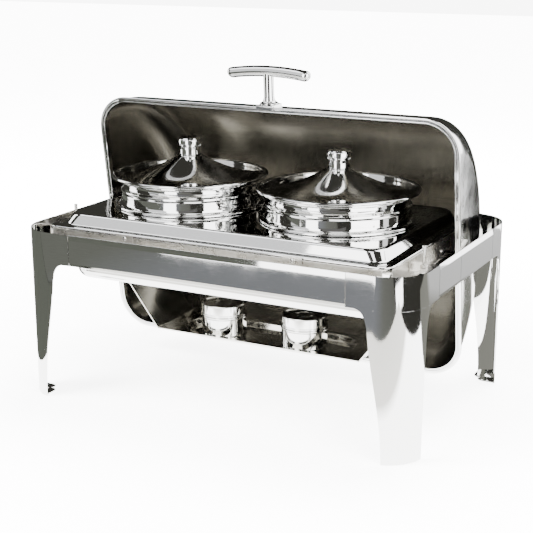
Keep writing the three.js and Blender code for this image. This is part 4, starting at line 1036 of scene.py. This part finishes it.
def make_studio():
    floor_mesh = bpy.data.meshes.new("floor")
    floor_mesh.from_pydata(level(-9, -9, 9, 9, 0), [], [(0, 1, 2, 3)])
    material, tree, shader = new_material("pale_floor")
    shader.inputs["Base Color"].default_value = (0.94, 0.94, 0.94, 1)
    shader.inputs["Roughness"].default_value = 0.9
    shader.inputs["Emission Color"].default_value = (1, 1, 1, 1)
    away = length_of(tree, node(tree, "ShaderNodeTexCoord").outputs["Object"])
    glow = mapped(tree, away, 0.4, 1.4, 5.0, 12.0)
    tree.links.new(glow, shader.inputs["Emission Strength"])
    floor_mesh.materials.append(material)
    floor = linked("floor", floor_mesh)
    floor.location.z = -GAP
    floor.visible_glossy = False

    white = (1.0, 1.0, 1.0)
    warm = (0.30, 0.295, 0.275)
    table = glow_material("table_light", [(0, warm), (0.36, (0.34, 0.335, 0.315)), (0.44, (0.95, 0.95, 0.94)),
                                          (1, white)], "Y", -0.73, 0.12, 8.0)
    glow_card("table_card", level(-0.45, -0.73, 0.86, 0.12, -0.0006), table)
    rear = glow_material("rear_table_light", [(0, (0.30, 0.30, 0.265)), (0.36, (0.34, 0.34, 0.30)),
                                              (0.48, (0.85, 0.85, 0.84)), (1, white)], "Y", 0.12, 1.2, 1.0)
    glow_card("rear_table_card", level(-0.45, 0.12, 1.1, 1.2, -0.0006), rear)
    ground = glow_material("front_floor_light", [(0, (0.150, 0.160, 0.135)), (0.42, (0.165, 0.172, 0.150)),
                                                 (0.50, (0.24, 0.25, 0.265)), (0.66, (0.27, 0.28, 0.30)),
                                                 (0.76, (0.19, 0.195, 0.175)), (1, (0.13, 0.13, 0.115))],
                           "X", -2.2, 1.2, 1.0)
    glow_card("front_floor", level(-5.0, -8.0, 0.80, -0.79, -0.02), ground)
    patch = [(0.86, -0.95, -0.02), (1.15, -0.78, -0.02), (1.0, -0.62, -0.02), (0.80, -0.74, -0.02)]
    olive, cool, blue, cream = (0.15, 0.16, 0.135), (0.97, 0.98, 1.0), (0.96, 0.97, 1.0), (1.0, 0.98, 0.94)
    for name, light_name, corners, color, strength in (
        ("left_floor", "left_floor_light", level(-3.0, -0.78, -0.50, 1.4, -0.02), olive, 1.0),
        ("right_floor_patch", "corner_light", patch, white, 7.0),
        ("front_strip", "strip_front_light", upright(-0.60, -1.06, 0.0, -1.06, -0.006, 0.06), white, 6.0),
        ("front_softbox", "front_light", upright(-0.36, -1.10, 0.02, -1.10, 0.06, 1.7), white, 7.0),
        ("upper_softbox", "upper_light", upright(-1.25, -1.10, -0.36, -1.10, 0.52, 1.75), cool, 1.3),
        ("high_softbox", "high_light", level(0.25, -1.65, 1.10, -0.85, 2.35), white, 4.0),
        ("overhead_softbox", "overhead_light", level(-1.75, -1.15, -0.45, -0.20, 2.1), blue, 4.0),
        ("right_softbox", "right_light", upright(0.93, -0.86, 1.42, -0.06, 0.03, 1.5), white, 8.0),
        ("right_strip", "strip_light", upright(1.50, 0.12, 1.46, 0.36, -0.05, 1.0), white, 1.6),
        ("left_softbox", "left_light", upright(-1.7, 0.12, -1.7, -0.42, 0.0, 1.4), white, 6.0),
        ("camera_side", "camera_side_light", upright(0.02, -1.9, 1.5, -1.9, 0.0, 2.2), cream, 0.16),
        ("backdrop", "backdrop_light", upright(0.60, 2.1, 3.5, 2.1, -0.4, 2.6), white, 6.0),
        ("rear_softbox", "rear_light", level(0.60, 0.20, 3.2, 2.1, 2.6), white, 6.0),
    ):
        glow_card(name, corners, glow_material(light_name, [(0, color)], "X", 0, 1, strength))

    for name, spot, size, power in (
        ("key", (-1.6, -1.6, 2.4), 1.8, 470),
        ("fill", (2.0, -1.2, 1.8), 2.0, 300),
        ("top", (0.2, 0.9, 2.6), 1.8, 380),
    ):
        light = bpy.data.lights.new(name, "AREA")
        light.shape = "DISK"
        light.size = size
        light.energy = power
        lamp = linked(name, light)
        lamp.location = spot
        lamp.visible_glossy = False
        lamp.rotation_mode = "QUATERNION"
        lamp.rotation_quaternion = (Vector((0, 0, 0.2)) - Vector(spot)).to_track_quat("-Z", "Y")

    world = bpy.data.worlds.new("studio")
    bpy.context.scene.world = world
    world.use_nodes = True
    tree = world.node_tree
    tree.nodes.clear()
    ray = node(tree, "ShaderNodeLightPath")
    seen = node(tree, "ShaderNodeBackground", Strength=8.0, Color=(1, 1, 1, 1))
    room = node(tree, "ShaderNodeBackground", Strength=1.0, Color=(0.046, 0.045, 0.039, 1))
    mix = node(tree, "ShaderNodeMixShader", Fac=ray.outputs["Is Camera Ray"])
    tree.links.new(room.outputs["Background"], mix.inputs[1])
    tree.links.new(seen.outputs["Background"], mix.inputs[2])
    node(tree, "ShaderNodeOutputWorld", Surface=mix.outputs["Shader"])


make_camera()
for end_name in ("front", "rear"):
    for side_name in ("left", "right"):
        make_leg(end_name, side_name)
make_rails()
make_shell()
make_rim()
make_handle()
make_pan()
make_plate()
for side_name in ("left", "right"):
    make_pot(side_name)
    make_lid(side_name)
    make_can(side_name)
make_shelf()
make_screws()
dress_hardware()
make_studio()
